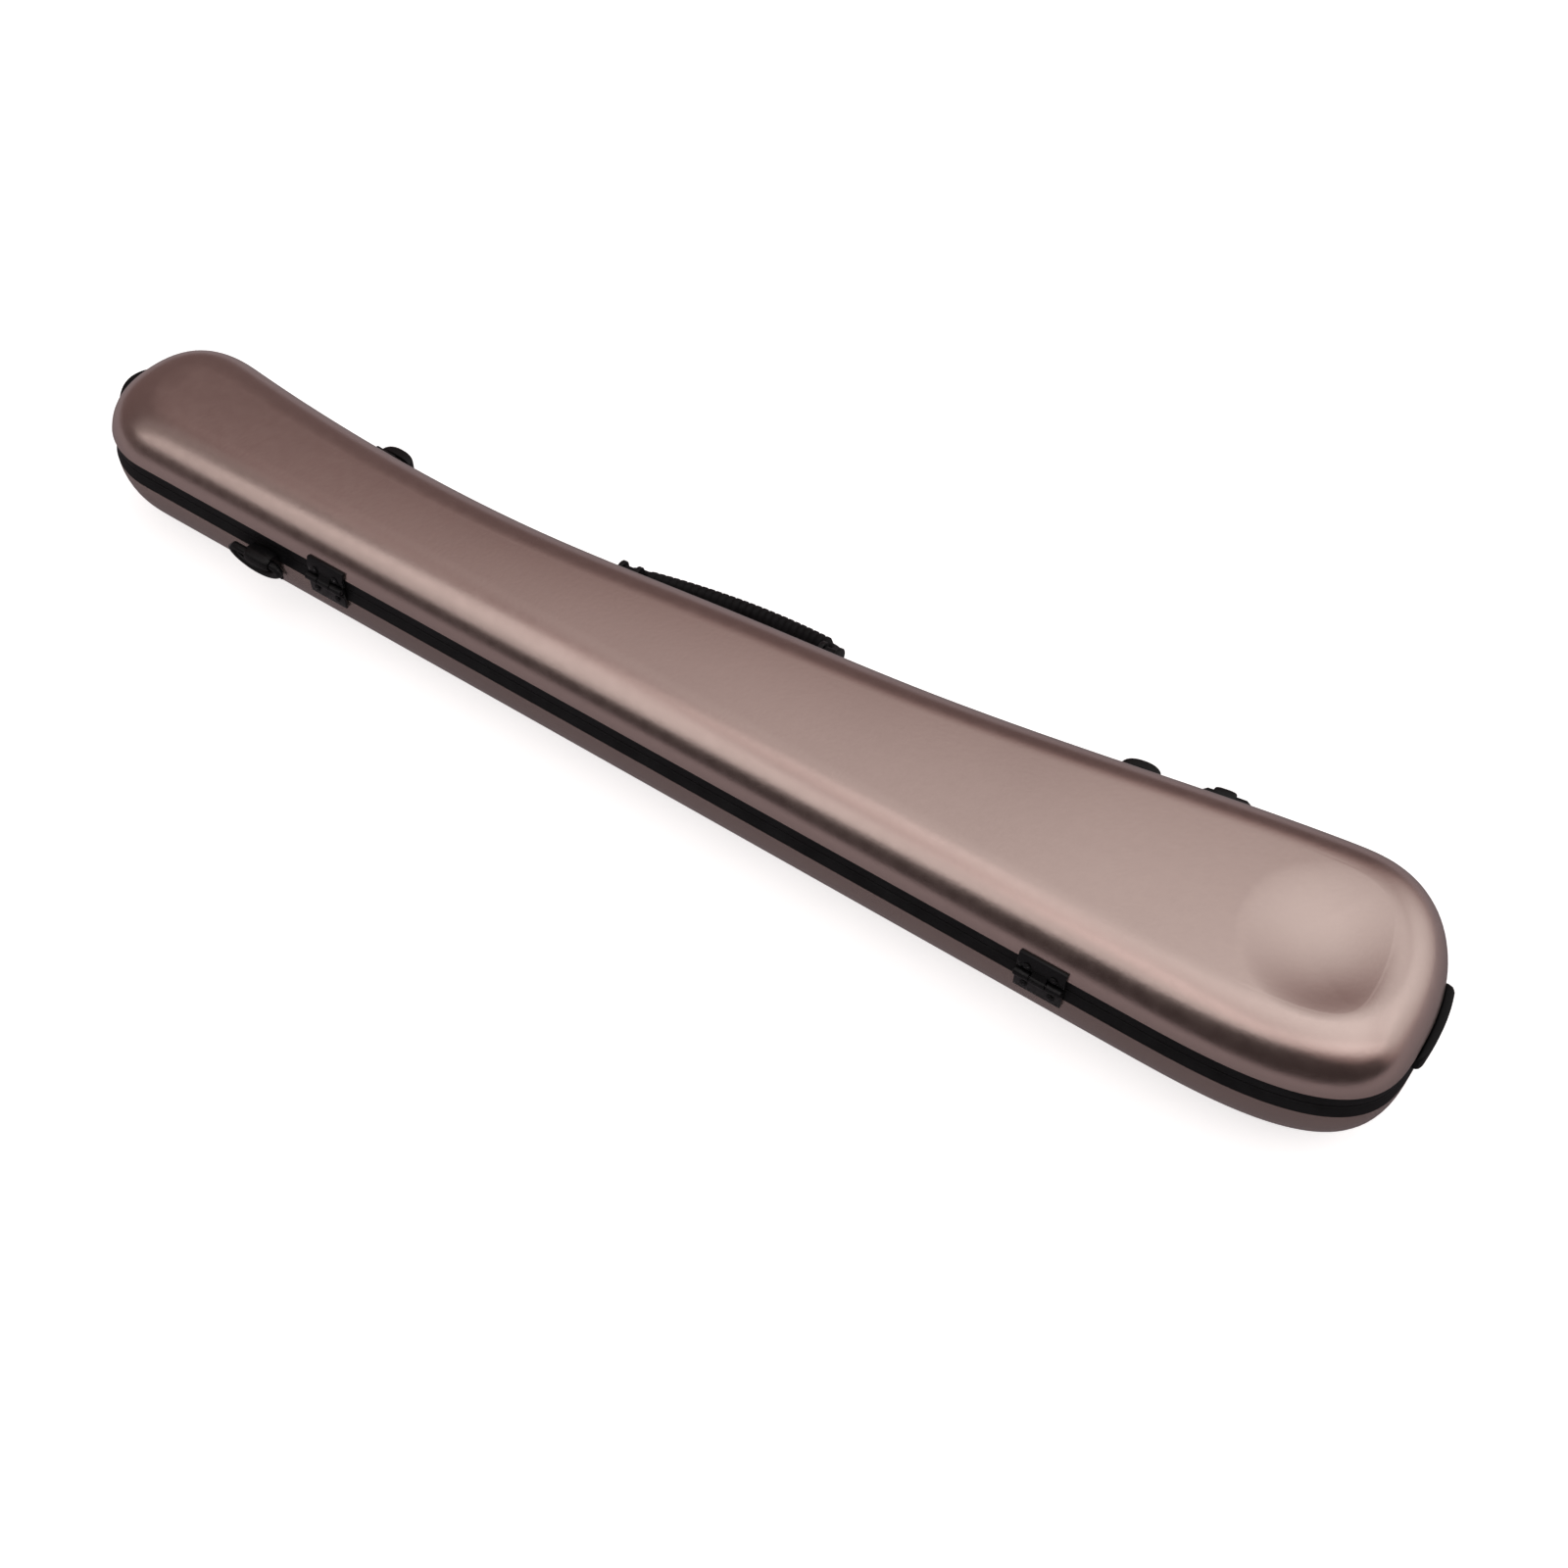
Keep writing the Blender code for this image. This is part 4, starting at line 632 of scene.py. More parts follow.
def draw_skin(rings, cap=False):
    """Skin through rings of as many places each, in edit mode with its last ring selected."""
    item = start_loop(len(rings[0]))
    lay_selected(item, rings[0])
    if cap:
        bpy.ops.mesh.edge_face_add()
    for ring in rings[1:]:
        bpy.ops.mesh.select_mode(type="EDGE")
        bpy.ops.mesh.extrude_edges_indiv()
        lay_selected(item, ring)
    return item


def loft(rings, closed=False):
    """Piece drawn through rings, either closed round or with a face on each end."""
    item = draw_skin(list(rings) + ([rings[0]] if closed else []), cap=not closed)
    if not closed:
        bpy.ops.mesh.edge_face_add()
    bpy.ops.mesh.select_mode(type="VERT")
    return tidy_normals(item)


def slab(profile, start, end, bevel=0.0):
    """Outline of (out, up) points drawn along the wall from start to end, with rounded edges."""
    item = start_loop(len(profile))
    lay_selected(item, [(start, out, up) for out, up in profile])
    bpy.ops.mesh.edge_face_add()
    bpy.ops.mesh.extrude_region_move(TRANSFORM_OT_translate={"value": (end - start, 0, 0)})
    tidy_normals(item)
    if bevel:
        apply_step(item, "BEVEL", width=bevel, segments=BEVEL_SEGMENTS, limit_method="ANGLE",
                   angle_limit=radians(BEVEL_DEG))
    return item


def circle(centre, radius, sides):
    """Points of a circle in the (out, up) plane."""
    angles = [2 * pi * step / sides for step in range(sides)]
    return [(centre[0] + radius * cos(a), centre[1] + radius * sin(a)) for a in angles]


def rod(centre, radius, start, end, chamfer=0.0, sides=ROUND_SIDES):
    """Round bar along the wall with eased ends."""
    stations = [(start, radius), (end, radius)]
    if chamfer:
        slim = radius - chamfer
        stations = [(start, slim), (start + chamfer, radius), (end - chamfer, radius), (end, slim)]
    rings = [[(x, out, up) for out, up in circle(centre, size, sides)] for x, size in stations]
    return loft(rings)


def turned(profile, sides):
    """Piece turned about an upright axis; the profile runs from its lower to its upper end."""
    return loft([
        [(x, y, height) for x, y in circle((0.0, 0.0), radius, sides)] for radius, height in profile
    ])


def combine(target, tools, operation):
    """Join tools to the target, or cut them from it, and drop the tools."""
    for tool in tools:
        apply_step(target, "BOOLEAN", operation=operation, solver="EXACT", object=tool)
        bpy.data.objects.remove(tool, do_unlink=True)
    return target


def put(item, place):
    """Move a piece to its place in the frame, with the place kept in its mesh."""
    only(item)
    item.matrix_world = place
    bpy.ops.object.transform_apply(location=True, rotation=True, scale=True)
    return item


def copy_of(item):
    """Second piece of the same shape, with its own mesh."""
    only(item)
    bpy.ops.object.duplicate(linked=False)
    return bpy.context.object


def finish_piece(item, name, finish, body, node):
    """Name a piece, give it its finish and tie it to the frame."""
    smooth(item)
    item.name = name
    item.data.name = name
    station = item.data.attributes.get("station")
    if station:
        item.data.attributes.remove(station)
    item.data.materials.clear()
    item.data.materials.append(finishes(bpy.context)[finish])
    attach(item, body)
    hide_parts(node)
    return item


# Finishes

def set_values(node, values):
    """Put plain values on the named inputs of a node."""
    for name, value in values.items():
        node.inputs[name].default_value = value


def add_node(tree, kind, values, links):
    """Node with plain values on some of its inputs and links into others."""
    node = tree.nodes.new(kind)
    set_values(node, values)
    for name, source in links.items():
        tree.links.new(source, node.inputs[name])
    return node


def new_finish(name, colour, roughness, metallic=0.0, others=None):
    """Material with one shader and plain values on it."""
    material = bpy.data.materials.new(name)
    material.use_nodes = True
    tree = material.node_tree
    shader = tree.nodes["Principled BSDF"]
    set_values(shader, {"Base Color": (*colour, 1.0), "Roughness": roughness, "Metallic": metallic})
    set_values(shader, others or {})
    return material, tree, shader


def coordinates(tree, stretch=(1.0, 1.0, 1.0)):
    """Object coordinates, stretched along each axis."""
    source = tree.nodes.new("ShaderNodeTexCoord").outputs["Object"]
    node = add_node(tree, "ShaderNodeMapping", {"Scale": stretch}, {"Vector": source})
    return node.outputs["Vector"]


def noise(tree, vector, scale, detail=3.0, rough=0.5):
    """Cloudy pattern with so many patches a metre."""
    values = {"Scale": scale, "Detail": detail, "Roughness": rough}
    return add_node(tree, "ShaderNodeTexNoise", values, {"Vector": vector}).outputs["Fac"]


def cells(tree, vector, scale, output="Distance"):
    """Pattern of cells with so many cells a metre."""
    node = add_node(tree, "ShaderNodeTexVoronoi", {"Scale": scale}, {"Vector": vector})
    return node.outputs[output]


def between(tree, factor, low, high, start=0.35, end=0.65):
    """Number that follows a pattern from a low to a high value."""
    values = {"From Min": start, "From Max": end, "To Min": low, "To Max": high}
    return add_node(tree, "ShaderNodeMapRange", values, {"Value": factor}).outputs["Result"]


def combined(tree, operation, first, second):
    """Two numbers put together by an operation."""
    node = tree.nodes.new("ShaderNodeMath")
    node.operation = operation
    tree.links.new(first, node.inputs[0])
    tree.links.new(second, node.inputs[1])
    return node.outputs["Value"]


def tones(tree, factor, dark, light):
    """Colour that follows a pattern from a dark to a light tone."""
    node = tree.nodes.new("ShaderNodeMix")
    node.data_type = "RGBA"
    dark_socket, light_socket = (s for s in node.inputs if s.type == "RGBA")
    dark_socket.default_value = (*dark, 1.0)
    light_socket.default_value = (*light, 1.0)
    tree.links.new(factor, node.inputs["Factor"])
    result = next(s for s in node.outputs if s.type == "RGBA")
    return result, dark_socket, light_socket


def add_bump(tree, shader, height, strength, distance, below=None):
    """Relief from a pattern, on top of another relief if there is one."""
    links = {"Height": height, "Normal": below} if below else {"Height": height}
    node = add_node(tree, "ShaderNodeBump", {"Strength": strength, "Distance": distance}, links)
    tree.links.new(node.outputs["Normal"], shader.inputs["Normal"])
    return node.outputs["Normal"]


def scaled(colour, share):
    """Colour made darker or lighter by a share."""
    return tuple(channel * share for channel in colour[:3])


def paint_finish(colours):
    """Satin metallic paint: fine flake, faint clouds and orange peel under a thin clear coat."""
    base = colours.paint
    material, tree, shader = new_finish("satin_metallic_paint", base, 0.24, 0.95, {
        "Coat Weight": 0.12,
        "Coat Roughness": 0.2,
    })
    vector = coordinates(tree)
    cloud = between(tree, noise(tree, vector, 7.0, 4.0), 0.0, 1.0)
    tone, _, _ = tones(tree, cloud, scaled(base, 0.965), scaled(base, 1.035))
    flake = cells(tree, vector, 4800.0, "Color")
    glint, dark, _ = tones(tree, between(tree, flake, 0.0, 1.0, 0.6, 1.0), base, scaled(base, 1.12))
    tree.links.new(tone, dark)
    tree.links.new(glint, shader.inputs["Base Color"])
    gloss = between(tree, noise(tree, vector, 140.0), 0.23, 0.27)
    tree.links.new(gloss, shader.inputs["Roughness"])
    peel = add_bump(tree, shader, noise(tree, vector, 420.0, 1.0), 0.04, 0.0006)
    add_bump(tree, shader, flake, 0.02, 0.0002, peel)
    return material


def rubber_finish(colours):
    """Black rubber with a fine grain and a dusty bloom."""
    base = colours.rubber
    material, tree, shader = new_finish("band_rubber", base, 0.5, 0.0, {"Specular IOR Level": 0.16})
    vector = coordinates(tree)
    bloom = noise(tree, vector, 60.0, 5.0, 0.6)
    tone, _, _ = tones(tree, between(tree, bloom, 0.0, 1.0), scaled(base, 0.8), scaled(base, 1.6))
    tree.links.new(tone, shader.inputs["Base Color"])
    tree.links.new(between(tree, bloom, 0.46, 0.62), shader.inputs["Roughness"])
    grain = noise(tree, vector, 2200.0, 2.0)
    add_bump(tree, shader, grain, 0.25, 0.0003)
    return material


def plastic_finish(colours):
    """Black moulded plastic with a leathery spark-eroded texture."""
    base = colours.plastic
    material, tree, shader = new_finish("moulded_plastic", base, 0.4, 0.0, {
        "Specular IOR Level": 0.25,
    })
    vector = coordinates(tree)
    tone, _, _ = tones(tree, noise(tree, vector, 90.0), scaled(base, 0.8), scaled(base, 1.5))
    tree.links.new(tone, shader.inputs["Base Color"])
    gloss = between(tree, noise(tree, vector, 500.0), 0.34, 0.46)
    tree.links.new(gloss, shader.inputs["Roughness"])
    texture = cells(tree, vector, 1500.0)
    add_bump(tree, shader, texture, 0.18, 0.0003)
    return material


def edge_wear(tree):
    """Share of wear, which grows on sharp edges and breaks up in patches."""
    geometry = tree.nodes.new("ShaderNodeNewGeometry")
    edges = between(tree, geometry.outputs["Pointiness"], 0.0, 0.5, 0.56, 0.70)
    patches = between(tree, noise(tree, coordinates(tree), 900.0, 4.0), 0.0, 1.0, 0.5, 0.7)
    return combined(tree, "MULTIPLY", edges, patches)


def black_metal_finish(colours):
    """Satin black plated metal with bare metal showing through on worn edges."""
    base = colours.black_metal
    material, tree, shader = new_finish("black_plated_metal", base, 0.34, 0.6, {
        "Specular IOR Level": 0.3,
    })
    vector = coordinates(tree)
    tone, _, _ = tones(tree, edge_wear(tree), base, colours.steel[:3])
    tree.links.new(tone, shader.inputs["Base Color"])
    gloss = between(tree, noise(tree, vector, 260.0), 0.27, 0.42)
    tree.links.new(gloss, shader.inputs["Roughness"])
    add_bump(tree, shader, noise(tree, vector, 1400.0, 2.0), 0.08, 0.0002)
    return material


def steel_finish(colours):
    """Drawn steel wire with fine lines along it."""
    base = colours.steel
    material, tree, shader = new_finish("drawn_steel", base, 0.28, 1.0)
    lines = noise(tree, coordinates(tree, (1.0, 12.0, 12.0)), 700.0)
    tone, _, _ = tones(tree, lines, scaled(base, 0.8), scaled(base, 1.15))
    tree.links.new(tone, shader.inputs["Base Color"])
    tree.links.new(between(tree, lines, 0.22, 0.36), shader.inputs["Roughness"])
    add_bump(tree, shader, lines, 0.06, 0.0002)
    return material


def plush_finish(name, colour, nap):
    """Short-pile plush: soft sheen, brushed patches and a fine pile."""
    base = colour[:3]
    material, tree, shader = new_finish(name, base, 0.95, 0.0, {
        "Sheen Weight": 0.55,
        "Sheen Roughness": 0.35,
        "Sheen Tint": (*scaled(base, 6.0), 1.0),
    })
    vector = coordinates(tree)
    brushed = noise(tree, vector, nap, 3.0, 0.55)
    patches = between(tree, brushed, 0.0, 1.0)
    tone, _, _ = tones(tree, patches, scaled(base, 0.72), scaled(base, 1.5))
    pile = noise(tree, vector, 2600.0, 2.0)
    tuft, dark, _ = tones(tree, between(tree, pile, 0.0, 0.5), base, scaled(base, 1.9))
    tree.links.new(tone, dark)
    tree.links.new(tuft, shader.inputs["Base Color"])
    tree.links.new(between(tree, pile, 0.85, 1.0), shader.inputs["Roughness"])
    relief = add_bump(tree, shader, pile, 0.5, 0.0006)
    add_bump(tree, shader, brushed, 0.25, 0.0012, relief)
    return material


FINISHES = {}


def finishes(context):
    """Every finish by name, made once."""
    if not FINISHES:
        colours = context.scene.bow_case_colours
        FINISHES.update(
            paint=paint_finish(colours),
            rubber=rubber_finish(colours),
            plastic=plastic_finish(colours),
            black_metal=black_metal_finish(colours),
            steel=steel_finish(colours),
            plush=plush_finish("lining_plush", colours.plush, 26.0),
            pad_plush=plush_finish("padded_plush", colours.pad_plush, 34.0),
        )
    return FINISHES


# Sizes and colours that a user may change

class BowCaseSizes(bpy.types.PropertyGroup):
    """Sizes of the details that the dressing adds."""
    dish_depth: bpy.props.FloatProperty(
        name="Dish depth", description="Depth of the dish in the lid",
        default=0.0052, min=0.0, max=0.006, unit="LENGTH")
    crown_tilt: bpy.props.FloatProperty(
        name="Crown tilt", description="Tilt at which the crown leaves the lid's edge",
        default=radians(3.0), min=0.0, max=radians(6.0), subtype="ANGLE")
    groove_depth: bpy.props.FloatProperty(
        name="Groove depth", description="Depth of the grooves in the handle's grip",
        default=0.00045, min=0.0, max=0.002, unit="LENGTH")
    lever_crown: bpy.props.FloatProperty(
        name="Lever crown", description="How far a latch lever's ends fall behind its middle",
        default=0.0056, min=0.0, max=0.008, unit="LENGTH")
    pad_swell: bpy.props.FloatProperty(
        name="Pad swell", description="Most that a padded piece may swell",
        default=0.0022, min=0.0, max=0.006, unit="LENGTH")


class BowCaseColours(bpy.types.PropertyGroup):
    """Colours of the case's finishes."""
    paint: bpy.props.FloatVectorProperty(
        name="Paint", description="Satin metallic paint of both shells",
        default=(0.57, 0.45, 0.41), subtype="COLOR", min=0.0, max=1.0)
    rubber: bpy.props.FloatVectorProperty(
        name="Rubber", description="Rim bands, seal, handle and end grips",
        default=(0.005, 0.005, 0.0055), subtype="COLOR", min=0.0, max=1.0)
    plastic: bpy.props.FloatVectorProperty(
        name="Plastic", description="Levers, brackets, tabs and turn-buttons",
        default=(0.004, 0.004, 0.0045), subtype="COLOR", min=0.0, max=1.0)
    black_metal: bpy.props.FloatVectorProperty(
        name="Black metal", description="Hinge leaves, plates, rings and rivets",
        default=(0.014, 0.014, 0.015), subtype="COLOR", min=0.0, max=1.0)
    steel: bpy.props.FloatVectorProperty(
        name="Steel", description="Pins and posts",
        default=(0.32, 0.32, 0.33), subtype="COLOR", min=0.0, max=1.0)
    plush: bpy.props.FloatVectorProperty(
        name="Plush", description="Linings of both shells",
        default=(0.060, 0.012, 0.017), subtype="COLOR", min=0.0, max=1.0)
    pad_plush: bpy.props.FloatVectorProperty(
        name="Pad plush", description="Beds and lid pad",
        default=(0.082, 0.017, 0.023), subtype="COLOR", min=0.0, max=1.0)


class BowCaseStudio(bpy.types.PropertyGroup):
    """Brightness of the studio."""
    floor: bpy.props.FloatVectorProperty(
        name="Floor", description="Colour of the floor",
        default=(0.86, 0.86, 0.86), subtype="COLOR", min=0.0, max=1.0)
    floor_glow: bpy.props.FloatProperty(
        name="Floor glow", description="Light that the floor gives off by itself",
        default=0.70, min=0.0, max=2.0)
    soft_light: bpy.props.FloatProperty(
        name="Soft light", description="Brightness of the soft boxes together",
        default=1.0, min=0.0, max=10.0)
    room_light: bpy.props.FloatVectorProperty(
        name="Room light", description="Light from the bright side of the room",
        default=(1.0, 0.99, 0.98), subtype="COLOR", min=0.0, max=1.0)
    room_dusk: bpy.props.FloatVectorProperty(
        name="Room dusk", description="Light between the bright and the dim side",
        default=(0.318, 0.222, 0.218), subtype="COLOR", min=0.0, max=1.0)
    room_shade: bpy.props.FloatVectorProperty(
        name="Room shade", description="Light from the dim side of the room",
        default=(0.02, 0.011, 0.011), subtype="COLOR", min=0.0, max=1.0)
    ground_light: bpy.props.FloatVectorProperty(
        name="Ground light", description="Light that glossy sides pick up from below",
        default=(0.198, 0.170, 0.180), subtype="COLOR", min=0.0, max=1.0)


# Pieces

class BOWCASE_OT_lid_shell(bpy.types.Operator):
    """Painted lid with its rolled sides, flat top and round dish"""
    bl_idname = "bow_case.lid_shell"
    bl_label = "Lid shell"

    def execute(self, context):
        sizes = context.scene.bow_case_sizes
        profile = lid_profile(0, LID_STEPS)[:LID_CROWN_STEP + 1]
        skin = draw_skin([ring_at(inset, height) for inset, height in profile])
        fill_flat(skin)
        split_near_dish(skin)
        tidy_normals(skin)
        shape_flat(skin, sizes.dish_depth, sizes.crown_tilt)
        apply_step(skin, "SOLIDIFY", thickness=SHELL_WALL, offset=-1, use_even_offset=True)
        finish_piece(skin, "painted_lid", "paint", "lid", "lid_shell")
        return {"FINISHED"}


def fill_flat(skin):
    """Fill the selected loop with a grid that runs along the case."""
    bpy.ops.mesh.select_mode(type="VERT")
    mesh = bmesh.from_edit_mesh(skin.data)
    station = mesh.verts.layers.int["station"]
    mesh.select_history.clear()
    for corner in mesh.verts:
        if corner.select and corner[station] == LID_END_SPAN // 2:
            mesh.select_history.add(corner)
    bmesh.update_edit_mesh(skin.data)
    bpy.ops.mesh.fill_grid(span=HALF_COUNT - LID_END_SPAN, offset=0)


def dish_reach(place):
    """Distance of a place from the middle of the dish, as a share of its half length or width."""
    offset = place - world(DISH_ALONG, DISH_ACROSS, LID_TOP)
    return sqrt((offset.x / DISH_HALF_LENGTH) ** 2 + (offset.y / DISH_HALF_WIDTH) ** 2)


def dish_fall(place):
    """Share of the dish's depth at a place; its floor dips toward the hinge side's wide end."""
    offset = place - world(DISH_ALONG, DISH_ACROSS, LID_TOP)
    turn = radians(DISH_DIP_DEG)
    near = (offset.x * sin(turn) - offset.y * cos(turn)) / DISH_HALF_WIDTH
    return max(1 - dish_reach(place) ** 2, 0) ** DISH_EASE_POWER * (1 + DISH_DIP_SHARE * near)


def split_near_dish(skin):
    """Cut the faces of the flat near the dish into finer ones."""
    bpy.ops.mesh.select_all(action="DESELECT")
    bpy.ops.mesh.select_mode(type="FACE")
    mesh = bmesh.from_edit_mesh(skin.data)
    for face in mesh.faces:
        flat = min(corner.co.z for corner in face.verts) > LID_TOP - GAP
        face.select = flat and dish_reach(face.calc_center_median()) < DISH_FINE_REACH
    mesh.select_flush_mode()
    bmesh.update_edit_mesh(skin.data)
    bpy.ops.mesh.subdivide(number_cuts=DISH_FINE_CUTS)
    bpy.ops.mesh.select_mode(type="VERT")


def half_width(along):
    """Half the width of the case at places along it."""
    return np.interp(along, *waisted_points(FINE_STEPS)[::-1].T) / 2


def shape_flat(skin, depth, tilt):
    """Raise the flat into a slight crown that leaves its edge at a tilt, and sink the dish in."""
    corners = skin.data.vertices
    places = np.array([corner.co[:] for corner in corners])
    spots = places[:, :2] + (CASE_LENGTH / 2, REST_LINE_ACROSS)
    flat = np.flatnonzero(places[:, 2] > LID_TOP - GAP)
    edge = lid_profile(0, LID_STEPS)[LID_CROWN_STEP][0]
    reach = np.maximum(wall_distances(spots[flat]) - edge, 0)
    room = half_width(spots[flat, 0]) - edge
    share = np.minimum(reach / room, 1)
    places[flat, 2] += tan(tilt) * room * (2 * share - share ** 2) / 2
    for index, corner in enumerate(corners):
        corner.co.z = places[index, 2] - depth * dish_fall(corner.co)


class BOWCASE_OT_base_shell(bpy.types.Operator):
    """Painted base with its round hull and flat bottom"""
    bl_idname = "bow_case.base_shell"
    bl_label = "Base shell"

    def execute(self, context):
        skin = draw_skin([ring_at(inset, height) for inset, height in hull_profile(0, HULL_STEPS)])
        bpy.ops.mesh.edge_face_add()
        tidy_normals(skin)
        apply_step(skin, "SOLIDIFY", thickness=SHELL_WALL, offset=-1, use_even_offset=True)
        finish_piece(skin, "painted_base", "paint", "base", "base_shell")
        return {"FINISHED"}


def hoop(profile, radius):
    """Ring round the case with a rounded profile."""
    return loft([ring_at(inset, height) for inset, height in rounded(profile, radius)], closed=True)


class BOWCASE_OT_rim_bands(bpy.types.Operator):
    """Black rubber bands on both rims, and the seal between them"""
    bl_idname = "bow_case.rim_bands"
    bl_label = "Rim bands"

    def execute(self, context):
        foot = HULL_TOP + GAP
        top = PARTING_HEIGHT - GAP / 2
        seal_outside = BAND_WAIST_INSET + SEAL_WALL
        seat = top - SEAL_SEAT_DEPTH
        base = hoop((
            (BAND_FOOT_INSET, foot),
            (BAND_WAIST_INSET, foot + BAND_TAPER_RISE),
            (BAND_WAIST_INSET, top),
            (seal_outside, top),
            (seal_outside, seat),
            (BASE_LINING_INSIDE, seat),
            (BASE_LINING_INSIDE, foot),
        ), BAND_ROUND)
        finish_piece(base, "base_band", "rubber", "base", "base_rim_band")
        seal = hoop((
            (seal_outside + GAP, seat + GAP),
            (seal_outside + GAP, seat + SEAL_HEIGHT),
            (seal_outside + GAP + SEAL_WIDTH, seat + SEAL_HEIGHT),
            (seal_outside + GAP + SEAL_WIDTH, seat + GAP),
        ), SEAL_ROUND)
        finish_piece(seal, "lip_seal", "rubber", "base", "rim_seal")
        lid_foot = PARTING_HEIGHT + GAP / 2
        lid_top = LID_RIM - GAP
        lid_inside = lid_profile(LID_LINING_INSIDE, 1)[0][0]
        roof = seat + SEAL_HEIGHT + GAP
        lid = hoop((
            (BAND_WAIST_INSET, lid_foot),
            (BAND_LIP_INSET, lid_top),
            (lid_inside, lid_top),
            (lid_inside, roof),
            (seal_outside, roof),
            (seal_outside, lid_foot),
        ), BAND_ROUND)
        finish_piece(lid, "lid_band", "rubber", "lid", "lid_rim_band")
        return {"FINISHED"}


def lining(outside, inside):
    """Cup of plush with a soft rim, between two profiles that run from the rim to the flat."""
    rim = []
    (outer_inset, height), (inner_inset, _) = outside[0], inside[0]
    middle = (outer_inset + inner_inset) / 2
    half = (inner_inset - outer_inset) / 2
    side = 1 if outside[-1][1] > height else -1
    for angle in np.linspace(pi, 0, LINING_RIM_STEPS + 1)[1:-1]:
        rim.append((middle + half * cos(angle), height + side * LINING_ROUND * (1 - sin(angle))))
    return loft([ring_at(inset, level) for inset, level in outside[:0:-1] + rim + inside[1:]])


class BOWCASE_OT_linings(bpy.types.Operator):
    """Plush linings of both shells"""
    bl_idname = "bow_case.linings"
    bl_label = "Linings"

    def execute(self, context):
        base = lining(*(
            hull_profile(depth, HULL_LINING_STEPS)
            for depth in (BASE_LINING_OUTSIDE, BASE_LINING_INSIDE)
        ))
        finish_piece(base, "base_plush", "plush", "base", "base_lining")
        lid = lining(*(
            lid_profile(depth, LID_LINING_STEPS)
            for depth in (LID_LINING_OUTSIDE + LINING_DISH_SPARE, LID_LINING_INSIDE)
        ))
        finish_piece(lid, "lid_plush", "plush", "lid", "lid_lining")
        return {"FINISHED"}


def inflate(item, swell):
    """Blow a pad up with cloth under pressure, and keep each point within a swell of its place."""
    rest = np.array([corner.co[:] for corner in item.data.vertices])
    only(item)
    cloth = item.modifiers.new("cloth", "CLOTH")
    cloth.settings.use_pressure = True
    cloth.settings.uniform_pressure_force = PAD_PRESSURE
    cloth.settings.effector_weights.gravity = 0
    cloth.settings.quality = CLOTH_QUALITY
    scene = bpy.context.scene
    for number in range(1, PAD_FRAMES + 1):
        scene.frame_set(number)
    bpy.ops.object.modifier_apply(modifier=cloth.name)
    scene.frame_set(1)
    moved = np.array([corner.co[:] for corner in item.data.vertices])
    shift = moved - rest
    length = np.linalg.norm(shift, axis=1)
    share = np.minimum(1, swell / np.maximum(length, 1e-9))
    item.data.vertices.foreach_set("co", (rest + shift * share[:, None]).astype(np.float32).ravel())
    item.data.update()
    return item


def soften(item, voxel, rounds):
    """Remesh a solid with soft edges."""
    only(item)
    item.data.remesh_voxel_size = voxel
    bpy.ops.object.voxel_remesh()
    return apply_step(item, "SMOOTH", factor=0.5, iterations=rounds)


def press_flat(item, top):
    """Press a pad flat under a height."""
    for corner in item.data.vertices:
        corner.co.z = min(corner.co.z, top)


class BOWCASE_OT_lid_pad(bpy.types.Operator):
    """Stuffed plush pad on the lid's ceiling, with sewn channels"""
    bl_idname = "bow_case.lid_pad"
    bl_label = "Lid pad"

    def execute(self, context):
        sizes = context.scene.bow_case_sizes
        swell = CUSHION_EDGE / 3
        pad = loft([ring_at(inset, height) for inset, height in (
            (CUSHION_INSET + swell, CEILING),
            (CUSHION_INSET, CEILING - CUSHION_EDGE / 2),
            (CUSHION_INSET + swell, CEILING - CUSHION_EDGE),
            (CUSHION_INSET + CUSHION_SLOPE, CEILING - CUSHION_CROWN),
        )])
        soften(pad, PAD_VOXEL, PAD_SOFT_ROUNDS)
        inflate(pad, sizes.pad_swell)
        press_flat(pad, CEILING)
        sew_channels(pad)
        finish_piece(pad, "lid_pad", "pad_plush", "lid", "lid_cushion")
        smooth(pad, PLUSH_SMOOTH_DEG)
        return {"FINISHED"}


def sew_channels(pad):
    """Draw sewn channels across the pad, each tight at its seam and full between."""
    for corner in pad.data.vertices:
        if corner.co.z < CEILING - CUSHION_EDGE / 2:
            beside = (corner.co.x / CHANNEL_PITCH + 0.5) % 1 - 0.5
            seam = np.exp(-((beside * CHANNEL_PITCH) / CHANNEL_WIDTH) ** 2)
            corner.co.z += CHANNEL_DEPTH * seam


class BOWCASE_OT_beds(bpy.types.Operator):
    """Plush-covered foam beds for frogs, sticks and heads"""
    bl_idname = "bow_case.beds"
    bl_label = "Beds"

    def execute(self, context):
        for node, name, voxel in (
            ("frog_bed", "frog_pad", 0.0021),
            ("stick_saddle", "stick_pad", 0.0013),
            ("head_bed", "head_pad", 0.0014),
        ):
            bed = copy_of(frame["nodes"][node])
            bed.parent = None
            bed.hide_render = False
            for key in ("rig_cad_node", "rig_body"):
                del bed[key]
            tidy_normals(bed)
            soften(bed, voxel, BED_SOFT_ROUNDS)
            press_flat(bed, BED_TOP + GAP)
            finish_piece(bed, name, "pad_plush", "base", node)
            smooth(bed, PLUSH_SMOOTH_DEG)
        return {"FINISHED"}


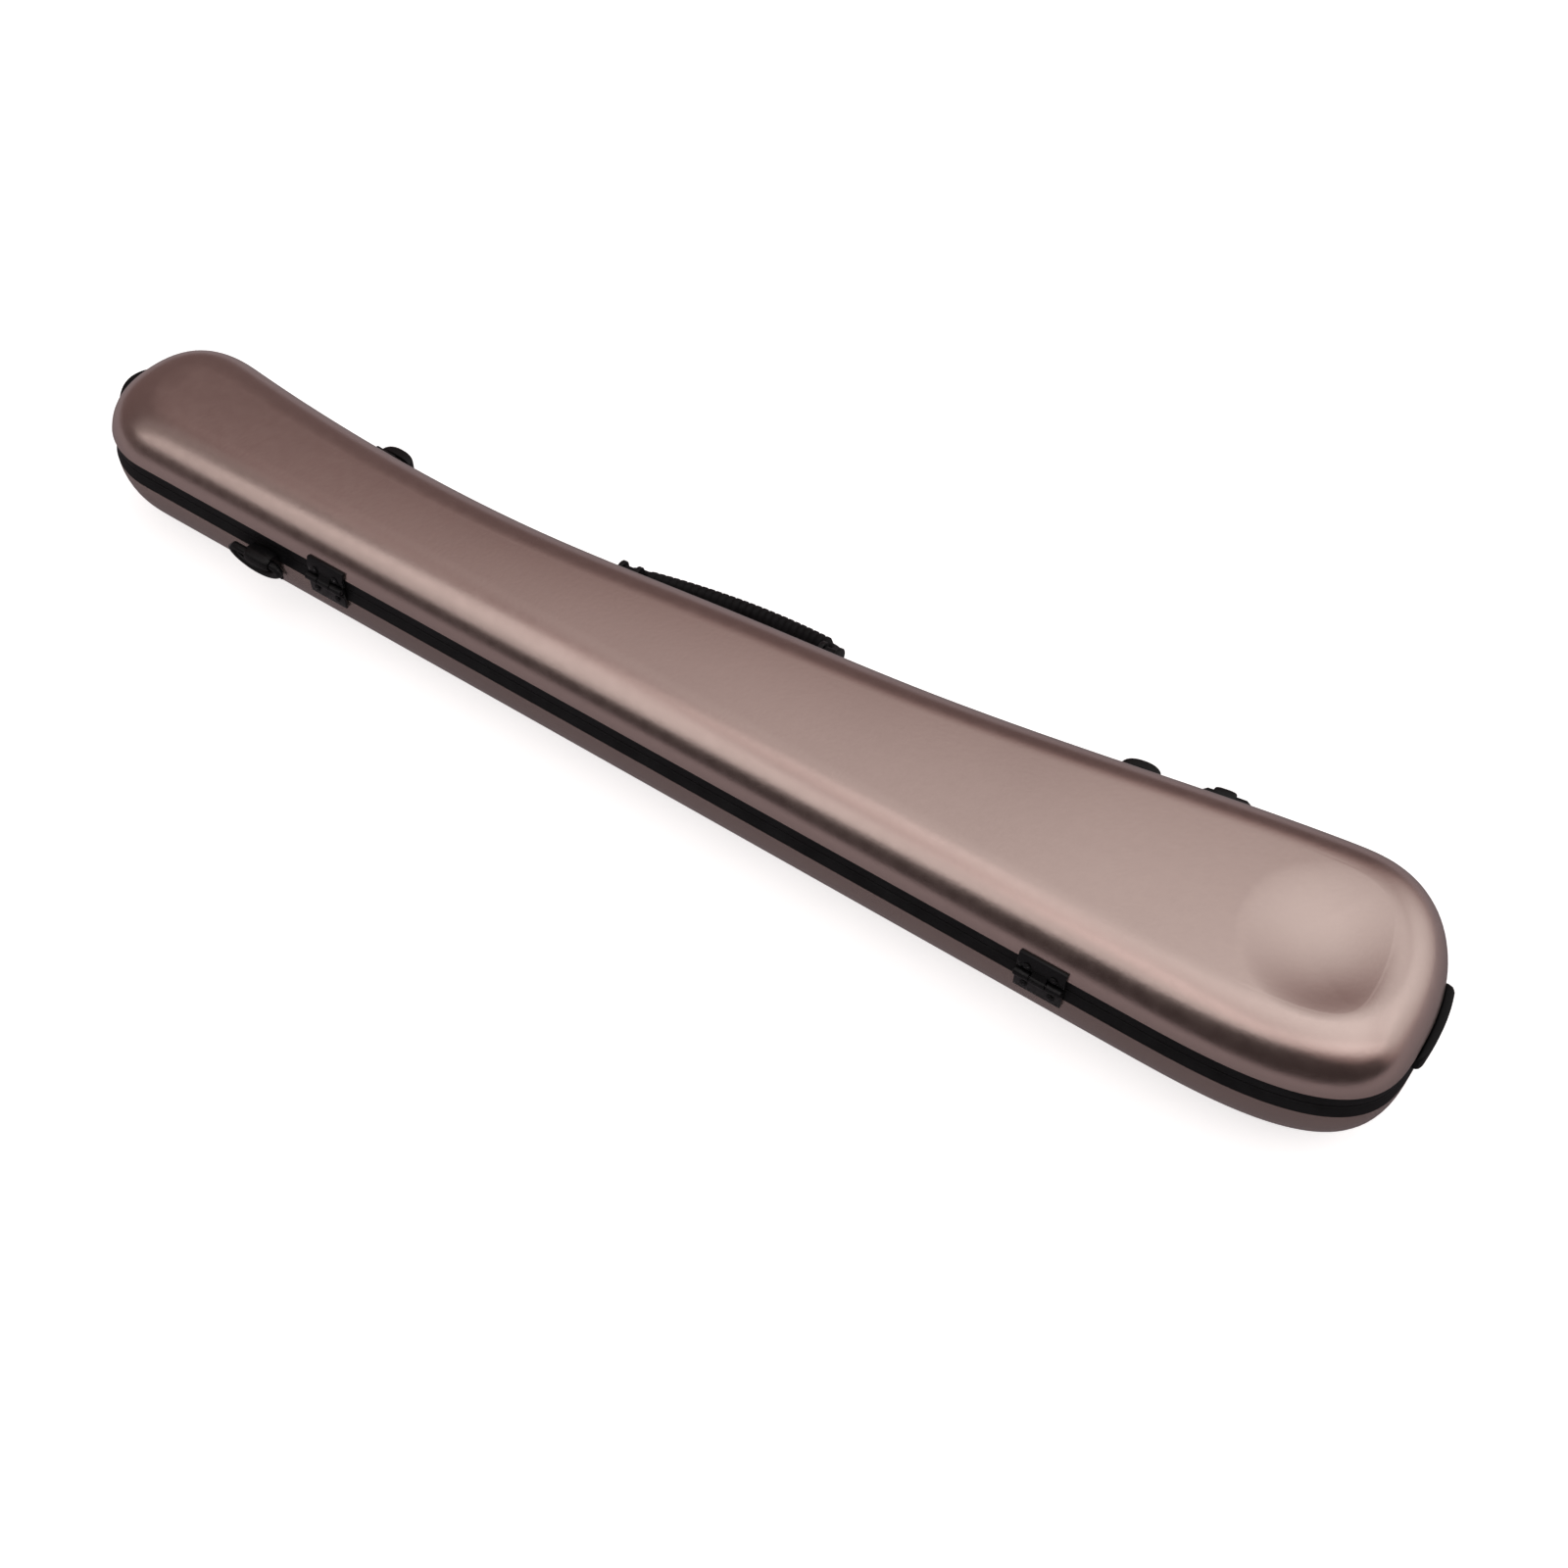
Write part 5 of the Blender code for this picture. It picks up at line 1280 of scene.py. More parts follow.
class BOWCASE_OT_turn_buttons(bpy.types.Operator):
    """Turn-buttons over the heads' slots, on their steel posts"""
    bl_idname = "bow_case.turn_buttons"
    bl_label = "Turn-buttons"

    def execute(self, context):
        over = BUTTON_LIFT + BUTTON_THICKNESS + GAP
        post = turned([
            (POST_RADIUS, -POST_BURIAL),
            (POST_RADIUS, over),
            (POST_HEAD_RADIUS, over),
            (POST_HEAD_RADIUS, over + POST_HEAD_HEIGHT * 0.35),
            (POST_HEAD_RADIUS * 0.86, over + POST_HEAD_HEIGHT * 0.72),
            (POST_HEAD_RADIUS * 0.5, over + POST_HEAD_HEIGHT * 0.95),
            (POST_HEAD_RADIUS * 0.12, over + POST_HEAD_HEIGHT),
        ], SMALL_SIDES)
        button = turn_button()
        for number in (1, 2, 3):
            low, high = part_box(f"button_post_{number}")
            seat = Matrix.Translation(((low.x + high.x) / 2, (low.y + high.y) / 2, BED_TOP))
            piece = put(copy_of(post), seat)
            finish_piece(piece, f"post_{number}", "steel", "base", f"button_post_{number}")
            piece = put(copy_of(button), seat)
            body = f"button_{number}"
            finish_piece(piece, body, "plastic", body, f"turn_button_{number}")
        for item in (post, button):
            bpy.data.objects.remove(item, do_unlink=True)
        return {"FINISHED"}


def turn_button():
    """Round-ended bar with eased edges and a bore near its end."""
    half = BUTTON_WIDTH / 2
    far = BUTTON_WIDTH - BUTTON_LENGTH
    ends = []
    for start, centre in ((0, 0), (pi, far)):
        for angle in np.linspace(start, start + pi, BUTTON_END_STEPS + 1):
            ends.append((half * cos(angle), centre + half * sin(angle)))
    ease = BUTTON_THICKNESS / 5
    top_ease = ease * 1.5
    levels = ((ease, 0), (0, ease), (0, BUTTON_THICKNESS - top_ease), (top_ease, BUTTON_THICKNESS))
    rings = []
    for inset, rise in levels:
        shrink = (half - inset) / half
        ring = []
        for x, y in ends:
            middle = min(max(y, far), 0)
            ring.append((x * shrink, middle + (y - middle) * shrink, BUTTON_LIFT + rise))
        rings.append(ring)
    button = loft(rings)
    bore = turned([
        (POST_RADIUS + PIN_CLEARANCE, -BUTTON_THICKNESS),
        (POST_RADIUS + PIN_CLEARANCE, BUTTON_THICKNESS * 3),
    ], SMALL_SIDES)
    return combine(button, [bore], "DIFFERENCE")


def bored(item, axis, radius, half):
    """Cut a pin's hole along the wall through a piece."""
    reach = half + SHELL_WALL
    bore = rod(axis, radius + PIN_CLEARANCE, -reach, reach, sides=SMALL_SIDES)
    return combine(item, [bore], "DIFFERENCE")


def pin_shape(axis, half):
    """Steel pin with eased ends, a little shorter than what it holds."""
    return rod(axis, PIN_RADIUS, -half + PIN_INSET, half - PIN_INSET, PIN_RADIUS / 4, SMALL_SIDES)


def rivet_shape(length):
    """Domed rivet whose shank points down, with its head's seat at zero."""
    return turned([
        (RIVET_RADIUS, -length),
        (RIVET_RADIUS, 0),
        (RIVET_HEAD_RADIUS * 0.96, 0),
        (RIVET_HEAD_RADIUS, RIVET_HEAD_HEIGHT * 0.2),
        (RIVET_HEAD_RADIUS * 0.92, RIVET_HEAD_HEIGHT * 0.55),
        (RIVET_HEAD_RADIUS * 0.7, RIVET_HEAD_HEIGHT * 0.82),
        (RIVET_HEAD_RADIUS * 0.38, RIVET_HEAD_HEIGHT * 0.96),
        (RIVET_HEAD_RADIUS * 0.1, RIVET_HEAD_HEIGHT),
    ], SMALL_SIDES)


def set_rivet(node, name, place, along, out, up, length, body):
    """Domed rivet in a plate whose outer face stands at out."""
    item = rivet_shape(length)
    turn = Matrix.Rotation(-pi / 2, 4, "X")
    put(item, place @ Matrix.Translation((along, out + GAP, up)) @ turn)
    return finish_piece(item, name, "black_metal", body, node)


class BOWCASE_OT_hinges(bpy.types.Operator):
    """Riveted hinges with rolled knuckles and steel pins"""
    bl_idname = "bow_case.hinges"
    bl_label = "Hinges"

    def execute(self, context):
        for number, along in enumerate(HINGE_ALONG, start=1):
            make_hinge(number, wall_frame(along, 0))
        return {"FINISHED"}


def make_hinge(number, place):
    """One hinge: two leaves, four rivets and a pin."""
    half = HINGE_WIDTH / 2
    middle = MIDDLE_KNUCKLE / 2
    axis = (HINGE_AXIS_OUT, PARTING_HEIGHT)
    reach = BARREL_RADIUS + GAP
    inner = GAP - lid_inset(LID_RIM)
    knee_height = (LID_RIM + UPPER_LEAF_TOP) / 2
    knee = GAP - lid_inset(knee_height)
    tip = GAP - lid_inset(UPPER_LEAF_TOP)
    ease = LEAF_THICKNESS / 5
    upper = slab((
        (inner, PARTING_HEIGHT + reach),
        (inner, LID_RIM),
        (knee, knee_height),
        (tip, UPPER_LEAF_TOP),
        (tip + LEAF_THICKNESS, UPPER_LEAF_TOP),
        (knee + LEAF_THICKNESS, knee_height),
        (inner + LEAF_THICKNESS, LID_RIM),
        (inner + LEAF_THICKNESS, PARTING_HEIGHT + reach),
    ), -half, half, ease)
    web = slab((
        (inner, PARTING_HEIGHT),
        (inner, PARTING_HEIGHT + BARREL_RADIUS + reach),
        (inner + LEAF_THICKNESS, PARTING_HEIGHT + BARREL_RADIUS + reach),
        (HINGE_AXIS_OUT + BARREL_RADIUS / 2, PARTING_HEIGHT + BARREL_RADIUS * 0.7),
        (HINGE_AXIS_OUT, PARTING_HEIGHT),
    ), -middle + ease, middle - ease)
    combine(upper, [web, rod(axis, BARREL_RADIUS, -middle, middle, ease)], "UNION")
    bored(upper, axis, PIN_RADIUS, half)
    foot = PARTING_HEIGHT - reach
    lower = slab((
        (GAP, LOWER_LEAF_FOOT),
        (GAP, foot),
        (GAP + LEAF_THICKNESS, foot),
        (GAP + LEAF_THICKNESS, LOWER_LEAF_FOOT),
    ), -half, half, ease)
    parts = []
    for start, end in ((-half, -middle - KNUCKLE_GAP), (middle + KNUCKLE_GAP, half)):
        parts.append(slab((
            (GAP, foot - BARREL_RADIUS),
            (GAP, PARTING_HEIGHT),
            (HINGE_AXIS_OUT, PARTING_HEIGHT),
            (HINGE_AXIS_OUT + BARREL_RADIUS / 2, PARTING_HEIGHT - BARREL_RADIUS * 0.7),
            (GAP + LEAF_THICKNESS, foot - BARREL_RADIUS),
        ), start + ease, end - ease))
        parts.append(rod(axis, BARREL_RADIUS, start, end, ease))
    combine(lower, parts, "UNION")
    bored(lower, axis, PIN_RADIUS, half)
    put(upper, place)
    put(lower, place)
    hinge = f"hinge_{number}"
    finish_piece(upper, f"{hinge}_upper_leaf", "black_metal", "lid", f"{hinge}_lid_leaf")
    finish_piece(lower, f"{hinge}_lower_leaf", "black_metal", "base", f"{hinge}_base_leaf")
    pin = put(pin_shape(axis, half), place)
    finish_piece(pin, f"{hinge}_wire", "steel", "base", f"{hinge}_pin")
    for side, spot in zip("ab", (-HINGE_RIVET_APART / 2, HINGE_RIVET_APART / 2)):
        for body, label, out, up in (
            ("lid", "upper", inner, UPPER_RIVET_HEIGHT),
            ("base", "lower", GAP, LOWER_RIVET_HEIGHT),
        ):
            set_rivet(f"{hinge}_{body}_rivet_{side}", f"{hinge}_{label}_head_{side}", place, spot,
                      out + LEAF_THICKNESS, up, LEAF_THICKNESS, body)


def clevis(plate, ears, pivot, ear_radius, half_width, ease):
    """Plate on the wall with round-ended ears about a pivot."""
    thickness, foot, top = plate
    item = slab((
        (GAP, foot),
        (GAP, top),
        (GAP + thickness, top),
        (GAP + thickness, foot),
    ), -half_width, half_width, ease)
    parts = []
    for start, end in ears:
        parts.append(slab((
            (GAP + thickness / 2, pivot[1] - ear_radius),
            (GAP + thickness / 2, pivot[1] + ear_radius),
            (pivot[0], pivot[1] + ear_radius * TANGENT_SHARE),
            (pivot[0], pivot[1] - ear_radius * TANGENT_SHARE),
        ), start + ease, end - ease))
        parts.append(rod(pivot, ear_radius, start, end, ease))
    return combine(item, parts, "UNION")


class BOWCASE_OT_latches(bpy.types.Operator):
    """Flip latches: plates, pins, rivets, crowned levers and keepers"""
    bl_idname = "bow_case.latches"
    bl_label = "Latches"

    def execute(self, context):
        crown = context.scene.bow_case_sizes.lever_crown
        for number, along in enumerate(LATCH_ALONG, start=1):
            make_latch(number, wall_frame(along, wall_across(along)), crown)
        return {"FINISHED"}


def make_latch(number, place, crown):
    """One latch on the wall frame, whose lever has a crown."""
    latch = f"latch_{number}"
    half = LATCH_WIDTH / 2
    pivot = (LATCH_PIVOT_OUT, LATCH_PIVOT_HEIGHT)
    ears = ((-half, -half + LATCH_EAR_THICKNESS), (half - LATCH_EAR_THICKNESS, half))
    ease = LATCH_PLATE_THICKNESS / 6
    plate = clevis((LATCH_PLATE_THICKNESS, LATCH_PLATE_FOOT, LATCH_PLATE_TOP), ears, pivot,
                   LATCH_EAR_RADIUS, half, ease)
    bored(plate, pivot, PIN_RADIUS, half)
    put(plate, place)
    finish_piece(plate, f"{latch}_seat", "black_metal", "base", f"{latch}_plate")
    pin = put(pin_shape(pivot, half), place)
    finish_piece(pin, f"{latch}_wire", "steel", "base", f"{latch}_pin")
    for side, spot in zip("ab", (-LATCH_RIVET_APART / 2, LATCH_RIVET_APART / 2)):
        set_rivet(f"{latch}_rivet_{side}", f"{latch}_head_{side}", place, spot,
                  GAP + LATCH_PLATE_THICKNESS, LATCH_RIVET_HEIGHT, LATCH_PLATE_THICKNESS, "base")
    lever = put(lever_shape(crown), place)
    finish_piece(lever, f"{latch}_flap", "plastic", latch, f"{latch}_lever")
    keeper = put(keeper_shape(), place)
    finish_piece(keeper, f"{latch}_catch", "black_metal", "lid", f"{latch}_keeper")


def lever_shape(crown):
    """Hollow-backed lever, crowned along and down its face, with its knuckle."""
    half = LATCH_WIDTH / 2
    knuckle = half - LATCH_EAR_THICKNESS - GAP
    pivot = (LATCH_PIVOT_OUT, LATCH_PIVOT_HEIGHT)
    lip = KEEPER_NOSE_OUT + GAP
    spring = pivot[1] + LATCH_EAR_RADIUS + 2 * GAP
    under_top = LATCH_LEVER_TOP - LATCH_LEVER_WALL
    rings = []
    for share in np.linspace(-1, 1, LEVER_STEPS + 1):
        side = abs(share)
        fall = crown * (1 - sqrt(max(1 - side ** 2.4, 0)))
        outer = LATCH_LEVER_OUT - fall
        wall = LATCH_LEVER_WALL - min(fall, LATCH_LEVER_WALL * 0.45)
        inner = max(outer - wall, lip)
        turn = min(LATCH_LEVER_ROUND, (outer - lip) * 0.8)
        top = LATCH_LEVER_TOP - fall * 0.35
        ring = [
            (inner, spring),
            (inner, under_top - turn),
            (inner - (inner - lip) * 0.3, under_top - turn * 0.2),
            (lip, under_top),
            (lip, top - ((top - under_top) * 0.2)),
            (lip + turn * 0.15, top),
        ]
        for angle in np.linspace(pi / 2, 0, LEVER_TURN_STEPS + 1):
            ring.append((outer - turn + turn * cos(angle), top - turn + turn * sin(angle)))
        ring.append((outer, (top + spring) / 2))
        ring.append((outer, spring + LATCH_LEVER_WALL))
        ring.append((outer - wall * 0.12, spring + LATCH_LEVER_WALL * 0.45))
        ring.append((outer - wall / 2, spring))
        rings.append([(share * half, out, up) for out, up in ring])
    face = loft(rings)
    web = slab((
        (pivot[0], pivot[1] + LATCH_KNUCKLE_RADIUS / 2),
        (LATCH_LEVER_OUT - LATCH_LEVER_WALL, spring + LATCH_LEVER_WALL),
        (LATCH_LEVER_OUT - LATCH_LEVER_WALL / 2, spring + LATCH_LEVER_WALL / 2),
        (LATCH_LEVER_OUT - LATCH_LEVER_WALL, spring - LATCH_LEVER_WALL),
        (pivot[0], pivot[1] - LATCH_KNUCKLE_RADIUS / 2),
    ), -knuckle * 0.72, knuckle * 0.72, GAP)
    combine(face, [web, rod(pivot, LATCH_KNUCKLE_RADIUS, -knuckle, knuckle, GAP)], "UNION")
    return bored(face, pivot, PIN_RADIUS, half)


def keeper_shape():
    """Bent keeper plate with its nose."""
    half = KEEPER_WIDTH / 2
    inner = GAP - lid_inset(LID_RIM)
    tip = GAP - lid_inset(KEEPER_TOP)
    face = inner + KEEPER_PLATE_THICKNESS
    nose_top = KEEPER_NOSE_FOOT + KEEPER_NOSE_THICKNESS
    return slab((
        (inner, KEEPER_NOSE_FOOT),
        (inner, LID_RIM),
        (tip, KEEPER_TOP),
        (tip + KEEPER_PLATE_THICKNESS, KEEPER_TOP),
        (face, LID_RIM),
        (face, nose_top),
        (KEEPER_NOSE_OUT, nose_top),
        (KEEPER_NOSE_OUT, KEEPER_NOSE_FOOT),
    ), -half, half, KEEPER_PLATE_THICKNESS / 5)


class BOWCASE_OT_handle(bpy.types.Operator):
    """Ribbed carrying handle on its two brackets"""
    bl_idname = "bow_case.handle"
    bl_label = "Carrying handle"

    def execute(self, context):
        place = wall_frame(HANDLE_ALONG, wall_across(HANDLE_ALONG))
        make_brackets(place)
        grip = loft(handle_sections(context.scene.bow_case_sizes.groove_depth))
        eye_half = HANDLE_EYE_LENGTH / 2
        spots = (-HANDLE_HALF_SPAN, HANDLE_HALF_SPAN)
        combine(grip, [
            rod((0, 0), HANDLE_EYE_RADIUS, spot - eye_half, spot + eye_half, GAP) for spot in spots
        ], "UNION")
        hole = HANDLE_PIN_RADIUS + PIN_CLEARANCE
        combine(grip, [
            rod((0, 0), hole, spot - eye_half * 2, spot + eye_half * 2, sides=SMALL_SIDES)
            for spot in spots
        ], "DIFFERENCE")
        seat = place @ Matrix.Translation((0, HANDLE_PIVOT_OUT, HANDLE_PIVOT_HEIGHT))
        put(grip, seat @ Matrix.Rotation(-radians(HANDLE_DROOP_DEG), 4, "X"))
        finish_piece(grip, "ribbed_handle", "rubber", "handle", "carry_handle")
        return {"FINISHED"}


def make_brackets(place):
    """Brackets and pins of the handle, taken to where the frame holds them."""
    ear_in = HANDLE_EYE_LENGTH / 2 + GAP
    ear_out = ear_in + BRACKET_EAR_THICKNESS
    for label, side in (("narrow", -1), ("wide", 1)):
        along = side * HANDLE_HALF_SPAN
        back = bracket_back(place, f"handle_bracket_{label}")
        pivot = (HANDLE_PIVOT_OUT - back, HANDLE_PIVOT_HEIGHT)
        bracket = clevis(
            (BRACKET_PLATE_THICKNESS, BRACKET_PLATE_FOOT, BRACKET_PLATE_TOP),
            ((-ear_out, -ear_in), (ear_in, ear_out)), pivot, BRACKET_EAR_RADIUS, ear_out,
            BRACKET_PLATE_THICKNESS / 5,
        )
        bored(bracket, pivot, HANDLE_PIN_RADIUS, ear_out)
        put(bracket, place @ Matrix.Translation((along, back, 0)))
        finish_piece(bracket, f"handle_seat_{label}", "plastic", "base", f"handle_bracket_{label}")
        reach = ear_out - PIN_INSET
        axis = (HANDLE_PIVOT_OUT, HANDLE_PIVOT_HEIGHT)
        pin = rod(axis, HANDLE_PIN_RADIUS, along - reach, along + reach, GAP, SMALL_SIDES)
        put(pin, place)
        finish_piece(pin, f"handle_wire_{label}", "steel", "base", f"handle_pin_{label}")


def bracket_back(place, node):
    """How far a bracket's back stands out of the handle's wall frame."""
    inverse = place.inverted()
    return min((inverse @ corner.co).y for corner in frame["nodes"][node].data.vertices) - GAP


def grip_fall(along):
    """Share of the grip's bow at a place along it."""
    return ((along - HANDLE_BOW_SHIFT) / (HANDLE_GRIP_LENGTH / 2)) ** 2


def handle_arm(side):
    """Places of one arm, from its eye to its end of the grip."""
    grip_half = HANDLE_GRIP_LENGTH / 2
    slack = HANDLE_HALF_SPAN - grip_half
    root = HANDLE_EYE_RADIUS - HANDLE_ARM_THICKNESS / 4
    bend = BRACKET_EAR_RADIUS + HANDLE_EYE_CLEARANCE
    rise = HANDLE_REACH - HANDLE_BOW * grip_fall(side * grip_half) - bend
    arm = (HANDLE_ARM_THICKNESS, HANDLE_ARM_THICKNESS)
    places = [(side * HANDLE_HALF_SPAN, root, (0, 1), *arm)]
    for share in np.linspace(0, 0.9, ARM_STEPS + 1):
        angle = pi / 2 * share
        along = side * (HANDLE_HALF_SPAN - slack * (1 - cos(angle)))
        heading = (-side * slack * sin(angle), rise * cos(angle))
        places.append((along, bend + rise * sin(angle), heading, *arm))
    return places


def handle_sections(depth):
    """Sections of the handle from one eye to the other, in the plane of its reach."""
    places = handle_arm(-1)
    pitch = HANDLE_GRIP_LENGTH / HANDLE_RIB_COUNT
    groove = HANDLE_GROOVE_WIDTH / 2
    for rib in range(HANDLE_RIB_COUNT):
        start = -HANDLE_GRIP_LENGTH / 2 + rib * pitch
        swell = pitch - 2 * groove
        shifts = [(groove * reach, sunk) for reach, sunk in HANDLE_GROOVE_SIDE]
        shifts += [(groove + swell * share, 0.0) for share in (0.3, 0.7)]
        shifts += [(pitch - groove * reach, sunk) for reach, sunk in reversed(HANDLE_GROOVE_SIDE)]
        for shift, sunk in shifts:
            along = start + shift
            fall = grip_fall(along)
            slimmer = 2 * depth * sunk
            height = HANDLE_GRIP_HEIGHT - HANDLE_GRIP_TAPER * fall - slimmer
            reach = HANDLE_REACH - HANDLE_BOW * fall
            places.append((along, reach, (1, 0), HANDLE_GRIP_THICKNESS - slimmer, height))
    for along, reach, heading, thickness, height in reversed(handle_arm(1)):
        places.append((along, reach, (-heading[0], -heading[1]), thickness, height))
    return [oval_section(*item) for item in places]


def oval_section(along, reach, heading, thickness, height):
    """Rounded section square to a heading in the plane of the reach."""
    ahead = Vector((heading[0], heading[1], 0)).normalized()
    sideways = Vector((-ahead.y, ahead.x, 0))
    centre = Vector((along, reach, 0))
    section = []
    for step in range(SECTION_SIDES):
        angle = 2 * pi * (step + 0.5) / SECTION_SIDES
        out = thickness / 2 * np.sign(cos(angle)) * abs(cos(angle)) ** GRIP_SQUARE_SHARE
        up = height / 2 * np.sign(sin(angle)) * abs(sin(angle)) ** GRIP_SQUARE_SHARE
        section.append(centre + sideways * out + Vector((0, 0, up)))
    return section


class BOWCASE_OT_strap_rings(bpy.types.Operator):
    """Strap rings in their folded tabs, one on each side"""
    bl_idname = "bow_case.strap_rings"
    bl_label = "Strap rings"

    def execute(self, context):
        near = wall_frame(TAB_ALONG_HINGE_SIDE, 0)
        far = wall_frame(TAB_ALONG_LATCH_SIDE, wall_across(TAB_ALONG_LATCH_SIDE))
        far = far @ Matrix.Translation((TAB_SLIDE_LATCH_SIDE, 0, TAB_RAISE_LATCH_SIDE))
        make_strap_ring("hinge_side", near, TAB_WIDTH,
                        ring_sections(RING_HALF_SPAN, RING_SLIDE_HINGE_SIDE))
        make_strap_ring("latch_side", far, TAB_WIDTH_LATCH_SIDE,
                        ring_sections(RING_HALF_SPAN_LATCH_SIDE, RING_SLIDE_LATCH_SIDE))
        return {"FINISHED"}


def make_strap_ring(label, place, width, sections):
    """One tab on the wall with its rivet and its ring."""
    half = width / 2
    centre = (TAB_BARREL_OUT, TAB_BARREL_HEIGHT)
    bore = RING_BAR_RADIUS + TAB_RING_CLEARANCE
    outer = bore + TAB_BARREL_WALL
    face = GAP + TAB_PLATE_THICKNESS
    ease = TAB_PLATE_THICKNESS / 4
    tab = slab((
        (GAP, TAB_PLATE_FOOT),
        (GAP, TAB_PLATE_TOP),
        (TAB_BARREL_OUT, TAB_BARREL_HEIGHT + outer * TANGENT_SHARE),
        (TAB_BARREL_OUT, TAB_BARREL_HEIGHT - outer * TANGENT_SHARE),
        (face, TAB_BARREL_HEIGHT - outer),
        (face, TAB_PLATE_FOOT),
    ), -half, half, ease)
    combine(tab, [loft(barrel_sections(centre, outer, half))], "UNION")
    combine(tab, [rod(centre, bore, -half - outer, half + outer)], "DIFFERENCE")
    put(tab, place)
    finish_piece(tab, f"tab_{label}", "plastic", "base", f"strap_tab_{label}")
    set_rivet(f"strap_tab_rivet_{label}", f"tab_head_{label}", place, 0, face, TAB_RIVET_HEIGHT,
              TAB_PLATE_THICKNESS, "base")
    ring = loft(sections, closed=True)
    seat = place @ Matrix.Translation((0, centre[0], centre[1]))
    put(ring, seat @ Matrix.Rotation(-radians(RING_DROOP_DEG), 4, "X"))
    finish_piece(ring, f"ring_{label}", "black_metal", f"ring_{label}", f"strap_ring_{label}")


def barrel_sections(centre, radius, half):
    """Sections of a barrel whose ends round off like a dome."""
    sections = []
    for share in np.linspace(-1, 1, BARREL_STEPS + 1):
        size = radius * (0.72 + 0.28 * sqrt(max(1 - abs(share) ** 3, 0)))
        sections.append([(share * half, out, up) for out, up in circle(centre, size, ROUND_SIDES)])
    return sections


def ring_sections(half_span, slide):
    """Sections round a ring with one straight bar and one bowed side, slid along its bar."""
    corner = RING_BAR_RADIUS * 2
    bar_half = half_span - corner / 2
    spine = [
        Vector((slide + bar_half * share, 0, 0)) for share in np.linspace(-1, 1, RING_BAR_STEPS + 1)
    ]
    for angle in np.linspace(0, pi, RING_BOW_STEPS + 1):
        along = slide + half_span * cos(angle)
        reach = corner / 2 + (RING_REACH - corner / 2) * max(sin(angle), 0) ** RING_BOW_POWER
        spine.append(Vector((along, reach, 0)))
    sections = []
    count = len(spine)
    for index, spot in enumerate(spine):
        before, after = spot - spine[index - 1], spine[(index + 1) % count] - spot
        ahead = before.normalized() + after.normalized()
        sideways = ahead.normalized().cross(Vector((0, 0, 1)))
        section = []
        for angle in np.linspace(0, 2 * pi, RING_SIDES, endpoint=False):
            out, up = RING_BAR_RADIUS * cos(angle), RING_BAR_RADIUS * sin(angle)
            section.append(spot + sideways * out + Vector((0, 0, up)))
        sections.append(section)
    return sections


class BOWCASE_OT_end_grips(bpy.types.Operator):
    """Moulded rubber grip on the wide end and loop on the narrow end"""
    bl_idname = "bow_case.end_grips"
    bl_label = "End grips"

    def execute(self, context):
        grip = end_strap(CASE_LENGTH, *WIDE_END_GRIP)
        finish_piece(grip, "wide_grip", "rubber", "base", "wide_end_grip")
        loop = end_strap(0, *NARROW_END_LOOP)
        finish_piece(loop, "narrow_loop", "rubber", "base", "narrow_end_loop")
        return {"FINISHED"}


def end_strap(along, across, length, rise, height, thickness, middle):
    """Strap that bows off an end wall between two feet, with rounded edges."""
    place = wall_frame(along, across)
    sections = []
    for share in np.linspace(0, 1, STRAP_STEPS + 1):
        beside = length * (share - 0.5)
        arch = sin(pi * share)
        foot = min(min(share, 1 - share) / END_FOOT_SHARE, 1)
        seat = wall_rise(place, beside) + GAP
        lift = max(rise * arch - thickness / 2, 0) * min(max(foot * 2 - 1, 0), 1) - END_SINK
        lean = 1 + END_LEAN * (share - 0.5)
        outer = seat + (thickness * (0.45 + 0.55 * sqrt(foot)) + rise * arch) * lean
        tall = height * (0.72 + 0.28 * sqrt(foot))
        inner = seat + lift
        deep = outer - inner
        section = []
        for angle in np.linspace(0, 2 * pi, SECTION_SIDES, endpoint=False) + pi / SECTION_SIDES:
            out = np.sign(cos(angle)) * abs(cos(angle)) ** 0.5
            up = np.sign(sin(angle)) * abs(sin(angle)) ** 0.5
            section.append((beside, inner + deep / 2 * (1 + out), middle + tall / 2 * up))
        sections.append(section)
    return put(loft(sections), place)


# Stage

def soft_box(name, left, right, back, front, glow):
    """Soft area light that faces down, between places to the right and toward the camera."""
    deselect()
    turn = Matrix.Rotation(radians(BOX_TURN_DEG), 4, "Z")
    place = turn @ Vector(((left + right) / 2, -(back + front) / 2, BOX_HEIGHT))
    bpy.ops.object.light_add(type="AREA", location=place, rotation=(0, 0, radians(BOX_TURN_DEG)))
    lamp = bpy.context.object
    lamp.name = name
    lamp.data.shape = "RECTANGLE"
    lamp.data.size = right - left
    lamp.data.size_y = front - back
    lamp.data.energy = glow * pi * lamp.data.size * lamp.data.size_y
    lamp.data.color = BOX_COLOUR
    return lamp


class BOWCASE_OT_stage(bpy.types.Operator):
    """Pale floor, soft studio light and the photograph's camera"""
    bl_idname = "bow_case.stage"
    bl_label = "Stage"

    def execute(self, context):
        studio = context.scene.bow_case_studio
        make_floor(studio)
        for name, spans in SOFT_BOXES.items():
            soft_box(name, *spans[:4], studio.soft_light * spans[4])
        make_room(context, studio)
        make_camera(context)
        context.scene.view_settings.view_transform = "Standard"
        return {"FINISHED"}


